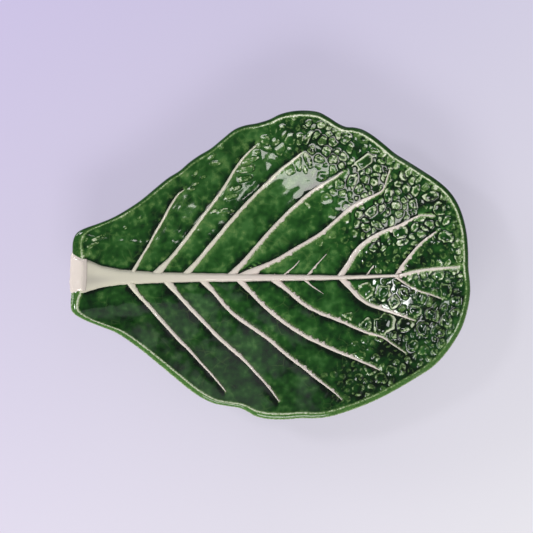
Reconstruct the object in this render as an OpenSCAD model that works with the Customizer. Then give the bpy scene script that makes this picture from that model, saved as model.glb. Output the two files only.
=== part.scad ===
// Leaf shaped serving dish: a dished cabbage leaf blade of fired clay on a foot ring,
// with its midrib, side ribs and cut stem end standing proud of the blade.
// +X runs from the cut stem to the leaf's tip, +Z is up, and the foot stands on Z = 0.

/* [Leaf] */
// Length over all, from the cut stem to the tip
leaf_length = 250; // [200:1:320]
// Width over all, across the widest part of the leaf
leaf_width = 193; // [160:1:240]
// Height of the highest stretch of rim above the table
dish_height = 42; // [32:1:60]
// Thickness of the clay under the floor of the dish
floor_thickness = 4.5; // [3:0.5:7]

/* [Rim] */
// Width of the rounded lip outside the rim's inner edge, along most of the leaf
lip_width = 2.9; // [2:0.1:4]
// How far the lip falls from its inner edge to its outermost line
lip_drop = 2.2; // [1:0.1:3]
// Height of the whole rounded edge
edge_height = 4.8; // [4:0.1:6]
// How far the underside of the edge turns back in
edge_return = 1.4; // [0.5:0.1:2]

/* [Foot] */
// Height of the foot ring
foot_height = 4; // [2:0.5:6]
// Width of the foot ring's bearing face
foot_width = 5; // [3:0.5:8]

/* [Midrib] */
// Width of the midrib at the middle of the leaf
midrib_width = 5.0; // [3:0.1:8]
// Height of the midrib above the blade at the middle of the leaf
midrib_height = 2.2; // [1:0.1:3]
// Height of the flat stem above the blade at the cut end
stem_height = 1.2; // [0.6:0.1:2]

/* [Side ribs] */
// Full width of a side rib of unit width
rib_width = 2.4; // [1.6:0.1:3.4]
// Height of a side rib of unit width above the blade
rib_height = 1.5; // [0.8:0.1:2.4]
// Height of a rib's edge, where it leaves the blade
rib_edge = 0.35; // [0.2:0.05:0.6]

/* [Puckers] */
// Height of a full pucker of the leaf above the blade
pucker_height = 1.2; // [0.4:0.1:1.6]
// Clearance between a pucker and the ribs and puckers beside it
pucker_gap = 0.3; // [0.2:0.05:0.6]

/* [Seats] */
// Clearance between a rib and the blade that it is seated on
seat_gap = 0.05; // [0.02:0.01:0.2]
// Clearance between a side rib's foot and the midrib
butt_gap = 0.1; // [0.05:0.05:0.3]

/* [Hidden] */

green_glaze = [0.13, 0.33, 0.12];
cream_glaze = [0.83, 0.79, 0.72];
bare_clay = [0.80, 0.71, 0.60];

half_length = leaf_length / 2;
half_width = leaf_width / 2;
floor_z = foot_height + floor_thickness;

// Shape of the dish, in shares of the way from its middle out to the rim
centre_share = [0.074, -0.049];
floor_share = 0.25;
under_floor_share = 0.46;
wall_power = 1.8;
under_power = 1.3;
foot_oval_share = 0.77;
foot_oval_points = 96;

// Samples of the surfaces
outline_steps = 2;
rib_steps = 2;
floor_ring_shares = [0.12];
wall_rings = 16;
under_rings = 9;
// Points of the rounded edge past its inner edge, down to its outermost line, and again under it
edge_points = 4;

// The leaf's outline, anticlockwise from the tip. Each row holds x and y as shares of the half
// length and half width, the rim's height as a share of the dish's, and the lip's width as a
// share of the usual one.
outline_shares = [
    [0.992, -0.023, 0.92, 0.9], [0.990, 0.094, 0.93, 0.9], [0.982, 0.211, 0.92, 0.9],
    [0.962, 0.322, 0.90, 0.9], [0.932, 0.413, 0.90, 0.95], [0.892, 0.484, 0.92, 1.0],
    [0.837, 0.546, 0.95, 1.05], [0.762, 0.611, 0.96, 1.05], [0.686, 0.673, 0.94, 1.0],
    [0.626, 0.722, 0.92, 1.0], [0.571, 0.781, 0.93, 1.0], [0.516, 0.836, 0.96, 1.0],
    [0.465, 0.875, 0.97, 1.0], [0.420, 0.891, 0.95, 0.95], [0.380, 0.895, 0.93, 0.9],
    [0.340, 0.917, 0.94, 0.95], [0.290, 0.958, 0.97, 1.0], [0.240, 0.990, 0.99, 1.05],
    [0.174, 1.000, 1.00, 1.05], [0.109, 0.995, 1.00, 1.0], [0.049, 0.976, 0.98, 0.95],
    [-0.006, 0.942, 0.95, 0.85], [-0.066, 0.919, 0.93, 0.8], [-0.127, 0.904, 0.94, 0.75],
    [-0.182, 0.875, 0.95, 0.7], [-0.242, 0.813, 0.95, 0.7], [-0.297, 0.755, 0.93, 0.75],
    [-0.353, 0.712, 0.92, 0.8], [-0.403, 0.667, 0.92, 0.75], [-0.453, 0.611, 0.93, 0.75],
    [-0.513, 0.562, 0.92, 0.8], [-0.578, 0.494, 0.91, 0.8], [-0.644, 0.423, 0.91, 0.8],
    [-0.714, 0.362, 0.90, 0.85], [-0.789, 0.307, 0.89, 0.95], [-0.864, 0.268, 0.88, 1.1],
    [-0.925, 0.240, 0.87, 1.4], [-0.968, 0.208, 0.86, 1.7], [-0.988, 0.152, 0.84, 1.8],
    [-0.991, 0.081, 0.81, 2.1], [-0.994, -0.004, 0.80, 2.4], [-0.996, -0.102, 0.80, 2.4],
    [-0.996, -0.180, 0.81, 2.1], [-0.999, -0.245, 0.84, 1.5], [-0.994, -0.297, 0.86, 1.3],
    [-0.968, -0.330, 0.87, 1.3], [-0.918, -0.364, 0.88, 1.2], [-0.847, -0.400, 0.89, 1.2],
    [-0.774, -0.437, 0.91, 1.2], [-0.704, -0.495, 0.92, 1.15], [-0.629, -0.567, 0.93, 1.1],
    [-0.553, -0.648, 0.93, 1.1], [-0.478, -0.729, 0.94, 1.1], [-0.403, -0.808, 0.95, 1.1],
    [-0.338, -0.863, 0.96, 1.0], [-0.277, -0.898, 0.95, 0.9], [-0.212, -0.914, 0.93, 0.85],
    [-0.152, -0.927, 0.92, 0.9], [-0.112, -0.951, 0.93, 1.0], [-0.072, -0.980, 0.95, 1.15],
    [-0.011, -0.997, 0.97, 1.25], [0.069, -1.000, 0.99, 1.25], [0.149, -0.992, 0.99, 1.2],
    [0.230, -0.992, 0.98, 1.15], [0.302, -0.980, 0.97, 1.1], [0.379, -0.951, 0.96, 1.1],
    [0.465, -0.911, 0.95, 1.1], [0.557, -0.858, 0.95, 1.1], [0.648, -0.794, 0.96, 1.1],
    [0.733, -0.728, 0.97, 1.1], [0.808, -0.664, 0.97, 1.1], [0.869, -0.586, 0.96, 1.05],
    [0.922, -0.492, 0.95, 1.0], [0.962, -0.395, 0.94, 1.0], [0.987, -0.290, 0.93, 0.95],
    [1.000, -0.186, 0.92, 0.9], [0.999, -0.108, 0.92, 0.9]
];
// First and last points of the outline that the cut stem end covers
stem_end_points = [39, 42];

// The midrib from the stem to the fork. Each row of a rib holds x and y as shares of the half
// length and half width, and its width as a share of the rib's usual width.
midrib_shares = [
    [-0.905, -0.072, 3.9], [-0.854, -0.076, 2.9], [-0.804, -0.077, 2.35], [-0.754, -0.079, 2.0],
    [-0.704, -0.080, 1.8], [-0.604, -0.082, 1.5], [-0.453, -0.082, 1.25], [-0.353, -0.082, 1.13],
    [-0.202, -0.083, 1.04], [-0.051, -0.083, 0.9], [0.149, -0.083, 0.79], [0.350, -0.082, 0.66],
    [0.501, -0.076, 0.56], [0.651, -0.070, 0.5]
];
// Where the midrib meets the cut stem end, as a share of its usual width
midrib_start_share = 4.2;

upper_rib_shares = [
    [
        [-0.679, -0.017, 0.9], [-0.654, 0.042, 0.6], [-0.614, 0.126, 0.55], [-0.578, 0.211, 0.5],
        [-0.538, 0.296, 0.5], [-0.503, 0.380, 0.45], [-0.463, 0.458, 0.35], [-0.433, 0.488, 0.2]
    ],
    [
        [-0.553, -0.030, 2.0], [-0.513, 0.029, 1.15], [-0.473, 0.090, 0.95], [-0.433, 0.156, 0.9],
        [-0.393, 0.224, 0.85], [-0.353, 0.296, 0.85], [-0.312, 0.364, 0.75], [-0.262, 0.452, 0.7],
        [-0.217, 0.536, 0.65], [-0.177, 0.624, 0.6], [-0.127, 0.709, 0.5], [-0.072, 0.777, 0.35]
    ],
    [
        [-0.408, -0.036, 1.6], [-0.368, 0.022, 1.2], [-0.312, 0.110, 1.15], [-0.257, 0.195, 1.1],
        [-0.202, 0.283, 1.0], [-0.137, 0.377, 0.9], [-0.072, 0.465, 0.85], [-0.006, 0.546, 0.8],
        [0.049, 0.618, 0.75], [0.104, 0.673, 0.65], [0.159, 0.732, 0.4]
    ],
    [
        [-0.177, -0.040, 1.7], [-0.132, 0.022, 1.2], [-0.077, 0.107, 1.1], [-0.021, 0.191, 1.0],
        [0.034, 0.270, 0.95], [0.094, 0.348, 0.9], [0.149, 0.413, 0.9], [0.205, 0.475, 0.85],
        [0.260, 0.523, 0.75], [0.315, 0.563, 0.6], [0.365, 0.608, 0.4]
    ],
    [
        [-0.092, -0.046, 2.1], [-0.031, -0.007, 1.15], [0.049, 0.045, 1.0], [0.149, 0.123, 0.9],
        [0.250, 0.201, 0.85], [0.340, 0.299, 0.85], [0.400, 0.367, 1.0], [0.460, 0.416, 0.85],
        [0.526, 0.455, 0.6], [0.566, 0.490, 0.45], [0.586, 0.563, 0.4], [0.601, 0.628, 0.25]
    ],
    [
        [0.370, -0.046, 1.6], [0.400, 0.016, 1.3], [0.430, 0.081, 1.3], [0.470, 0.136, 1.25],
        [0.526, 0.188, 1.0], [0.581, 0.224, 0.85], [0.636, 0.250, 0.75], [0.691, 0.286, 0.5],
        [0.752, 0.322, 0.4], [0.822, 0.318, 0.3]
    ]
];
lower_rib_shares = [
    [
        [-0.694, -0.137, 1.6], [-0.659, -0.199, 1.05], [-0.614, -0.261, 1.0], [-0.563, -0.336, 0.95],
        [-0.513, -0.408, 0.9], [-0.453, -0.492, 0.85], [-0.403, -0.557, 0.75], [-0.353, -0.629, 0.5],
        [-0.302, -0.700, 0.45], [-0.262, -0.759, 0.45], [-0.222, -0.824, 0.25]
    ],
    [
        [-0.503, -0.131, 1.8], [-0.458, -0.202, 1.15], [-0.398, -0.287, 1.1], [-0.327, -0.382, 1.0],
        [-0.262, -0.469, 1.0], [-0.197, -0.544, 0.95], [-0.137, -0.613, 0.85], [-0.082, -0.688, 0.65],
        [-0.031, -0.759, 0.55], [0.009, -0.821, 0.5], [0.044, -0.883, 0.3]
    ],
    [
        [-0.322, -0.124, 1.7], [-0.282, -0.180, 1.2], [-0.242, -0.245, 1.0], [-0.197, -0.307, 1.0],
        [-0.137, -0.368, 1.1], [-0.067, -0.430, 1.0], [-0.001, -0.492, 0.95], [0.054, -0.554, 0.85],
        [0.109, -0.613, 0.8], [0.169, -0.671, 0.75], [0.225, -0.730, 0.7], [0.280, -0.785, 0.6],
        [0.325, -0.831, 0.5], [0.360, -0.876, 0.25]
    ],
    [
        [-0.137, -0.121, 1.7], [-0.092, -0.186, 1.1], [-0.036, -0.261, 1.05], [0.024, -0.329, 1.05],
        [0.099, -0.401, 1.0], [0.174, -0.463, 0.95], [0.250, -0.512, 0.85], [0.325, -0.557, 0.75],
        [0.400, -0.596, 0.65], [0.460, -0.629, 0.55], [0.511, -0.658, 0.6], [0.551, -0.684, 0.3]
    ],
    [
        [0.044, -0.118, 1.7], [0.084, -0.160, 1.2], [0.129, -0.212, 1.1], [0.179, -0.264, 1.0],
        [0.240, -0.307, 0.9], [0.300, -0.339, 0.85], [0.365, -0.372, 0.75], [0.425, -0.408, 0.7],
        [0.491, -0.443, 0.6], [0.561, -0.469, 0.5], [0.621, -0.521, 0.45], [0.681, -0.574, 0.25]
    ],
    [
        [0.375, -0.105, 1.7], [0.410, -0.157, 1.2], [0.445, -0.206, 1.2], [0.491, -0.251, 1.0],
        [0.551, -0.281, 0.9], [0.611, -0.307, 0.8], [0.671, -0.336, 0.7], [0.726, -0.362, 0.35]
    ]
];
// The three ribs that the midrib forks into near the tip
tip_upper_shares = [
    [0.642, -0.053, 0.8], [0.672, 0.006, 0.8], [0.718, 0.084, 0.6], [0.772, 0.159, 0.5],
    [0.832, 0.217, 0.3]
];
tip_middle_shares = [
    [0.651, -0.070, 1.04], [0.711, -0.049, 0.75], [0.772, -0.033, 0.7], [0.852, -0.022, 0.65],
    [0.942, -0.012, 0.4]
];
tip_lower_shares = [
    [0.642, -0.085, 0.7], [0.692, -0.132, 0.5], [0.742, -0.167, 0.4], [0.797, -0.189, 0.35],
    [0.862, -0.222, 0.25]
];
upper_veinlet_shares = [
    [[0.094, -0.040, 0.5], [0.122, -0.010, 0.4], [0.149, 0.029, 0.25]],
    [[0.205, -0.043, 0.5], [0.240, 0.009, 0.4], [0.285, 0.071, 0.3]],
    [[0.501, -0.043, 0.45], [0.512, -0.022, 0.4], [0.523, -0.001, 0.25]]
];
lower_veinlet_shares = [
    [[0.189, -0.115, 0.5], [0.225, -0.150, 0.4], [0.270, -0.189, 0.25]]
];

// The larger puckers near the tip, placed by the picture that the leaf is drawn from. Each row
// holds the pucker's middle, its half length and its half width in the picture's pixels, its turn
// anticlockwise from +X in degrees, and its height as a share of a full pucker's.
picture_middle = [270.2, 265];
picture_leaf_size = [401, 309.6];
pucker_rows = [
    [266, 139, 5, 4.5, 0, 0.8], [275, 141, 5, 3.5, 10, 0.7], [268, 148, 4.5, 3, -20, 0.6],
    [300, 138, 6, 3.5, 80, 0.7], [321, 125, 4.5, 3, 0, 0.8], [323, 140, 5, 4.5, 0, 0.9],
    [333, 141, 5, 4.5, 30, 0.9], [327, 150, 5.5, 4.5, 70, 1.0], [334, 158, 4.5, 4.5, 0, 0.9],
    [320, 158, 5, 4.5, 20, 0.8], [312, 149, 4.5, 4, 40, 0.7], [309, 160, 9, 3, -62, 1.0],
    [299, 163, 7, 4, -68, 0.9], [290, 169, 5.5, 4.5, -50, 0.8], [344, 156, 4.5, 4.5, 0, 0.7],
    [346, 138, 5.5, 4.5, 60, 0.7], [350, 148, 6, 3, 80, 0.6], [364.5, 161, 16, 5, 36, 1.1],
    [353, 180, 9, 4.5, 68, 1.1], [340, 183, 5, 4.5, 0, 1.0], [344, 192, 4, 3.5, 20, 0.7],
    [375, 181, 4.5, 4, 20, 0.8], [366, 179, 4.5, 4, -30, 0.8], [360, 188, 4.5, 4.5, 30, 0.8],
    [389, 194, 7, 5, 62, 1.0], [399, 183, 5, 4, 80, 0.8], [408, 188, 5, 4, -60, 0.8],
    [416, 190, 6.5, 4, 60, 0.8], [379, 168, 5, 4.5, 0, 0.7], [372, 211.5, 9, 4, 42, 1.1],
    [382, 207, 4.5, 3.7, 60, 0.9], [367, 227, 5, 5, 0, 0.9], [379, 224, 7, 3.5, -10, 0.8],
    [357.5, 223, 5, 3, 70, 0.7], [398, 204, 5, 4, 10, 0.9], [405, 200, 4.5, 3.5, 30, 0.7],
    [393, 221, 5.5, 3, 80, 0.8], [401, 232, 8, 6, 15, 1.1], [416, 227, 5, 3, 48, 0.8],
    [430, 196, 8, 4, 18, 0.8], [441, 208, 6.5, 6.5, 0, 0.9], [414, 204, 5.5, 4.5, 60, 0.8],
    [447, 237, 7.5, 6, 10, 0.9], [448, 221, 5, 4, 60, 0.7], [369.5, 291, 10, 8, 20, 1.35],
    [384, 293, 9, 9, 0, 1.35], [375, 301, 5, 4, -20, 0.9], [396, 302, 8, 6, 30, 1.3],
    [405, 294, 6, 6, 0, 0.9], [404, 309, 4, 4, 0, 0.8], [350, 317, 6, 5.5, 60, 1.2],
    [367, 326, 8, 7, 30, 1.3], [385.5, 325, 12, 10, 30, 1.4], [406, 325, 9, 6.5, 20, 1.2],
    [395, 335, 5, 4, 20, 0.9], [422, 298, 7, 6.5, 20, 1.0], [431, 301, 6.5, 4, 80, 0.9],
    [416, 312, 6.5, 6.5, 0, 1.0], [434, 316, 7, 6.5, 0, 1.1], [446.5, 323, 7, 6, 70, 1.0],
    [424, 330, 9, 6.5, 80, 1.1], [439.5, 332, 7, 6, 60, 1.0], [414, 346, 6, 6, 0, 1.0],
    [424, 351, 6, 4.5, 40, 1.0], [407, 340, 4, 3.5, 0, 0.8], [441, 343, 5, 5, 30, 0.9],
    [446.5, 291, 8, 6, 80, 0.9], [456, 301, 5.5, 5.5, 0, 0.8], [456, 312, 5, 4.5, 0, 0.8],
    [360, 356, 7, 4.5, -10, 0.8], [377, 359, 4.5, 4, 60, 0.8], [344, 350, 5, 3.5, -20, 0.6],
    [360, 378, 5, 4, 20, 0.8], [350, 383, 5, 4, -30, 0.8], [344, 378, 4.5, 3.5, 0, 0.7],
    [334, 375, 4, 4, 0, 0.7], [358, 390.5, 7, 6, 0, 0.8], [382, 378, 6.5, 6, 0, 0.7],
    [392, 371, 8, 5, 20, 0.8], [403, 369, 7, 4, 60, 0.8], [409, 361, 5, 4, 40, 0.7],
    [430, 283, 5, 4.5, 0, 0.8], [440, 276, 7, 4, 20, 0.8], [449, 281, 4, 3.5, 0, 0.7]
];
pucker_points = 10;
// Rings of a pucker from its edge inwards: how far out and how high, in shares of its reach and
// of its height
pucker_crown = [[1, 0], [0.7, 0.86]];
// A pucker's edge draws back in these many steps, so that it clears what lies beside it
draw_back_steps = 12;
// How far out a pucker may reach, as a share of the way to the rim's inner edge
pucker_reach_share = 0.975;

// Crown of a rib's section, from its left edge to its right: how far out and how high each point
// lies, in shares of the half width and of the height above the edge. The seat under it has the
// same points across.
crown_shares = [[1, 0], [0.7, 0.72], [0, 1], [-0.7, 0.72], [-1, 0]];

// A point of the smooth curve through b and c, at share t of the way between them
function curve_point(a, b, c, d, t) =
    (2 * b + (c - a) * t + (2 * a - 5 * b + 4 * c - d) * t * t + (3 * b - 3 * c + d - a) * t * t * t) / 2;

function closed_curve(rows, steps) =
    let (n = len(rows))
    [for (i = [0 : n - 1], j = [0 : steps - 1])
        curve_point(rows[(i + n - 1) % n], rows[i], rows[(i + 1) % n], rows[(i + 2) % n], j / steps)];

function open_curve(rows, steps) =
    let (n = len(rows))
    [for (i = [0 : n - 2], j = [0 : steps - 1])
        curve_point(rows[max(i - 1, 0)], rows[i], rows[i + 1], rows[min(i + 2, n - 1)], j / steps),
    rows[n - 1]];

function flat(point) = [point.x, point.y];
function mix(a, b, t) = a + (b - a) * t;

centre = [centre_share.x * half_length, centre_share.y * half_width];

// Every sample of the outline: x and y from the dish's middle, rim height and lip width
rim = closed_curve(
    [for (row = outline_shares) [
        row[0] * half_length - centre.x,
        row[1] * half_width - centre.y,
        row[2] * dish_height,
        row[3] * lip_width
    ]],
    outline_steps
);
rim_count = len(rim);

function rim_reach(sample) = norm(flat(sample));
function crest_share(sample) = 1 - sample[3] / rim_reach(sample);

// The outline's sample on the ray from the dish's middle through a point, blended from its
// neighbours, with the point's share of the way out
function ray_hit(point) =
    let (
        i = [for (k = [0 : rim_count - 1])
            let (a = flat(rim[k]), b = flat(rim[(k + 1) % rim_count]))
            if (cross(a, point) >= 0 && cross(point, b) > 0 && a * point > 0) k][0],
        a = rim[i],
        b = rim[(i + 1) % rim_count],
        before = cross(flat(a), point),
        after = cross(point, flat(b)),
        sample = mix(a, b, before / (before + after))
    )
    [sample, norm(point) / rim_reach(sample)];

function wall_shares(from, count) = [for (i = [0 : count]) mix(from, 1, i / count)];

function wall_rise(share, flat_share, power) =
    share <= flat_share ? 0 : pow((share - flat_share) / (1 - flat_share), power);

// The upper face in shares of the way out to the rim's inner edge, with how far it has risen from
// the floor to the rim there. It runs straight from one ring to the next.
ring_shares = concat([0], floor_ring_shares, wall_shares(floor_share, wall_rings));
rise_shares = [for (share = ring_shares) [share, wall_rise(share, floor_share, wall_power)]];

function top_z(sample, share) =
    mix(floor_z, sample[2], lookup(share / crest_share(sample), rise_shares));

// Height of the blade's upper face at a point given from the origin
function blade_z(point) =
    let (hit = ray_hit(point - centre))
    top_z(hit[0], hit[1]);

// A point of the rounded edge. Turn is 0 at the rim's inner edge, 90 at the outermost line and
// 180 under the edge. Proud moves it out along the edge's own normal.
function edge_point(sample, turn, proud) =
    let (
        out = flat(sample) / rim_reach(sample),
        upper = turn <= 90,
        across = upper ? sample[3] : edge_return,
        down = upper ? lip_drop : edge_height - lip_drop,
        reach = rim_reach(sample) - across * (1 - sin(turn)),
        normal = [sin(turn) * down, cos(turn) * across] / norm([sin(turn) * down, cos(turn) * across]),
        place = centre + out * (reach + proud * normal.x)
    )
    [place.x, place.y, sample[2] - lip_drop + down * cos(turn) + proud * normal.y];

function top_ring(share) =
    [for (sample = rim)
        let (s = share * crest_share(sample), place = centre + flat(sample) * s)
        [place.x, place.y, top_z(sample, s)]];

function edge_ring(turn) = [for (sample = rim) edge_point(sample, turn, 0)];

function under_ring(share) =
    [for (sample = rim)
        let (
            edge = edge_point(sample, 180, 0),
            s = share * (1 - edge_return / rim_reach(sample)),
            place = centre + flat(sample) * s
        )
        [place.x, place.y, mix(foot_height, edge.z, wall_rise(share, under_floor_share, under_power))]];

// Faces of a tube of rings, each joined to the next, wound so that they look outwards
function ring_faces(rings, count) =
    [for (r = [0 : rings - 2], k = [0 : count - 1])
        let (a = r * count + k, b = r * count + (k + 1) % count)
        each [[a, b + count, b], [a, a + count, b + count]]];

module leaf_blade() {
    under_shares = wall_shares(under_floor_share, under_rings);
    rings = concat(
        [for (i = [0 : under_rings - 1]) under_ring(under_shares[i])],
        [for (k = [2 * edge_points : -1 : 1]) edge_ring(90 * k / edge_points)],
        [for (i = [len(ring_shares) - 1 : -1 : 1]) top_ring(ring_shares[i])]
    );
    points = [
        for (ring = rings, point = ring) point,
        [centre.x, centre.y, foot_height],
        [centre.x, centre.y, floor_z]
    ];
    last = (len(rings) - 1) * rim_count;
    bottom = len(rings) * rim_count;
    color(green_glaze)
        polyhedron(
            points,
            concat(
                ring_faces(len(rings), rim_count),
                [for (k = [0 : rim_count - 1]) [bottom, k, (k + 1) % rim_count]],
                [for (k = [0 : rim_count - 1]) [bottom + 1, last + (k + 1) % rim_count, last + k]]
            )
        );
}

// The oval lies under the flat floor, which is a smaller copy of the outline
module foot_ring() {
    foot_centre = centre * (1 - under_floor_share);
    semi = [half_length, half_width] * under_floor_share * foot_oval_share;
    color(bare_clay)
        translate([foot_centre.x, foot_centre.y, 0])
            linear_extrude(foot_height)
                difference() {
                    oval(semi);
                    oval(semi - [foot_width, foot_width]);
                }
}

module oval(semi) {
    polygon([for (k = [0 : foot_oval_points - 1])
        let (turn = 360 * k / foot_oval_points)
        [semi.x * cos(turn), semi.y * sin(turn)]]);
}

// A solid from sections with the same number of points, each joined to the next. The first half
// of a section's points is its outer side, and the second half comes back under it.
module lofted(sections) {
    count = len(sections[0]);
    last = (len(sections) - 1) * count;
    quads = [for (k = [0 : count / 2 - 2]) [k, k + 1, count - 2 - k, count - 1 - k]];
    polyhedron(
        [for (section = sections, point = section) point],
        concat(
            ring_faces(len(sections), count),
            [for (q = quads) each [[q[0], q[1], q[2]], [q[0], q[2], q[3]]]],
            [for (q = quads) each [
                [last + q[2], last + q[1], last + q[0]],
                [last + q[3], last + q[2], last + q[0]]
            ]]
        )
    );
}

// A rib's section, through places from its left edge to its right, with the height of its crown
function rib_section(places, crown) =
    let (count = len(places))
    concat(
        [for (i = [0 : count - 1])
            [places[i].x, places[i].y,
                blade_z(places[i]) + seat_gap + mix(rib_edge, crown, crown_shares[i][1])]],
        [for (i = [count - 1 : -1 : 0]) [places[i].x, places[i].y, blade_z(places[i]) + seat_gap]]
    );

// A narrow rib is lower than the full height too
function rib_crown(half) = mix(rib_edge, rib_height, min(1, 2 * half / rib_width));

midrib_line = open_curve(
    [for (row = midrib_shares) [row[0] * half_length, row[1] * half_width, row[2] * midrib_width / 2]],
    rib_steps
);
function midrib_y(x) = lookup(x, [for (p = midrib_line) [p.x, p.y]]);
function midrib_half(x) = lookup(x, [for (p = midrib_line) [p.x, p[2]]]);

stem_ends = stem_end_points * outline_steps;
stem_samples = [for (k = [stem_ends[1] : -1 : stem_ends[0]]) rim[k]];
// The rim's inner edge across the stem, as x for each y
stem_crest = [for (sample = stem_samples)
    let (place = centre + flat(sample) * crest_share(sample))
    [place.y, place.x]];

// Height of the midrib: low and flat at the stem, fuller where it narrows
function midrib_crown(half) =
    mix(stem_height, midrib_height, min(1, midrib_width / (2 * half)));

module midrib() {
    start_y = midrib_line[0].y;
    start_half = midrib_start_share * midrib_width / 2;
    start_places = [for (c = crown_shares)
        let (y = start_y + c[0] * start_half)
        [lookup(y, stem_crest) + butt_gap, y]];
    color(cream_glaze)
        lofted(concat(
            [rib_section(start_places, midrib_crown(start_half))],
            [for (p = midrib_line)
                rib_section([for (c = crown_shares) [p.x, p.y + c[0] * p[2]]], midrib_crown(p[2]))]
        ));
}

// The cut end of the stem: a glazed pad over the rim, from its inner edge down the outside
module stem_end() {
    color(cream_glaze)
        lofted([for (sample = stem_samples)
            concat(
                [for (k = [0 : edge_points]) edge_point(sample, 90 * k / edge_points, seat_gap)],
                [for (k = [edge_points : -1 : 0])
                    edge_point(sample, 90 * k / edge_points, seat_gap + stem_height)]
            )]);
}

function rib_line(rows) =
    open_curve(
        [for (row = rows) [row[0] * half_length, row[1] * half_width, row[2] * rib_width / 2]],
        rib_steps
    );

// A side rib. Side is 1 above the midrib and -1 below it, and its foot is cut to the midrib's
// edge.
module side_rib(rows, side) {
    line = rib_line(rows);
    last = len(line) - 1;
    foot = line[0];
    foot_places = [for (c = crown_shares)
        let (x = foot.x - side * foot[2] * c[0])
        [x, midrib_y(x) + side * (midrib_half(x) + butt_gap)]];
    color(cream_glaze)
        lofted(concat(
            [rib_section(foot_places, rib_crown(foot[2]))],
            [for (i = [1 : last])
                let (
                    along = flat(line[min(i + 1, last)]) - flat(line[i - 1]),
                    left = [-along.y, along.x] / norm(along)
                )
                rib_section(
                    [for (c = crown_shares) flat(line[i]) + left * line[i][2] * c[0]],
                    rib_crown(line[i][2])
                )]
        ));
}

// The middle tip rib carries on from the midrib's end
module tip_rib_middle() {
    line = rib_line(tip_middle_shares);
    color(cream_glaze)
        lofted([for (i = [0 : len(line) - 1])
            let (x = line[i].x + (i == 0 ? butt_gap : 0))
            rib_section([for (c = crown_shares) [x, line[i].y + line[i][2] * c[0]]], rib_crown(line[i][2]))
        ]);
}

module veinlets() {
    for (rows = upper_veinlet_shares) side_rib(rows, 1);
    for (rows = lower_veinlet_shares) side_rib(rows, -1);
}

// Every rib as a line of x, y and half width
function all_rib_lines() = concat(
    [midrib_line],
    [for (rows = concat(
        upper_rib_shares, lower_rib_shares, [tip_upper_shares, tip_middle_shares, tip_lower_shares],
        upper_veinlet_shares, lower_veinlet_shares
    )) rib_line(rows)]
);

// Distance from a point to the edge of a rib between two points of its line
function rib_gap(point, a, b) =
    let (
        run = flat(b) - flat(a),
        along = max(0, min(1, (point - flat(a)) * run / (run * run)))
    )
    norm(point - flat(a) - run * along) - mix(a[2], b[2], along);

picture_scale = [leaf_length / picture_leaf_size.x, leaf_width / picture_leaf_size.y];

function from_picture(pixel) =
    [(pixel.x - picture_middle.x) * picture_scale.x, (picture_middle.y - pixel.y) * picture_scale.y];

// The pixel of a pucker's plan at an angle round it, so far out
function pucker_pixel(row, angle, share) =
    let (x = row[2] * share * cos(angle), y = row[3] * share * sin(angle), turn = row[4])
    [row[0] + x * cos(turn) - y * sin(turn), row[1] - x * sin(turn) - y * cos(turn)];

// About how far a pixel lies beyond a pucker's edge
function beyond_pucker(pixel, row) =
    let (
        away = [pixel.x - row[0], row[1] - pixel.y],
        turn = row[4],
        x = away.x * cos(turn) + away.y * sin(turn),
        y = away.y * cos(turn) - away.x * sin(turn)
    )
    (norm([x / row[2], y / row[3]]) - 1) * row[3] * min(picture_scale);

// Whether a pixel clears the rim, the ribs and the other puckers near it
function is_clear(pixel, segments, neighbours) =
    let (point = from_picture(pixel), hit = ray_hit(point - centre))
    hit[1] < pucker_reach_share * crest_share(hit[0])
        && len([for (s = segments) if (rib_gap(point, s[0], s[1]) < pucker_gap) s]) == 0
        && len([for (other = neighbours) if (beyond_pucker(pixel, other) < pucker_gap / 2) other]) == 0;

// How many steps out from its middle a pucker's edge can go at an angle and stay clear
function clear_steps(row, angle, segments, neighbours, step = 0) =
    let (pixel = pucker_pixel(row, angle, step / draw_back_steps))
    step > draw_back_steps || !is_clear(pixel, segments, neighbours)
        ? step - 1
        : clear_steps(row, angle, segments, neighbours, step + 1);

// A low dome seated on the blade, its edge drawn back from whatever lies beside it
module pucker(row, segments, neighbours) {
    middle = from_picture(row);
    height = row[5] * pucker_height;
    steps = [for (k = [0 : pucker_points - 1])
        clear_steps(row, 360 * k / pucker_points, segments, neighbours)];
    outs = [for (k = [0 : pucker_points - 1])
        from_picture(pucker_pixel(row, 360 * k / pucker_points, steps[k] / draw_back_steps))];
    last = (len(pucker_crown) - 1) * pucker_points;
    count = len(pucker_crown) * pucker_points;
    if (min(steps) > 0)
        polyhedron(
            concat(
                [for (ring = pucker_crown, out = outs)
                    let (at = mix(middle, out, ring[0]))
                    [at.x, at.y, blade_z(at) + seat_gap + ring[1] * height]],
                [
                    [middle.x, middle.y, blade_z(middle) + seat_gap + height],
                    [middle.x, middle.y, blade_z(middle) + seat_gap]
                ]
            ),
            concat(
                ring_faces(len(pucker_crown), pucker_points),
                [for (k = [0 : pucker_points - 1])
                    [count, last + (k + 1) % pucker_points, last + k]],
                [for (k = [0 : pucker_points - 1]) [count + 1, k, (k + 1) % pucker_points]]
            )
        );
}

module puckers() {
    segments = [for (line = all_rib_lines(), k = [0 : len(line) - 2]) [line[k], line[k + 1]]];
    color(green_glaze)
        for (i = [0 : len(pucker_rows) - 1]) {
            row = pucker_rows[i];
            middle = from_picture(row);
            reach = row[2] * max(picture_scale) + pucker_gap;
            pucker(
                row,
                [for (s = segments) if (rib_gap(middle, s[0], s[1]) < reach) s],
                [for (j = [0 : len(pucker_rows) - 1])
                    let (other = pucker_rows[j])
                    if (j != i && norm(flat(other) - flat(row)) < row[2] + other[2] + pucker_gap) other]
            );
        }
}

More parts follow.
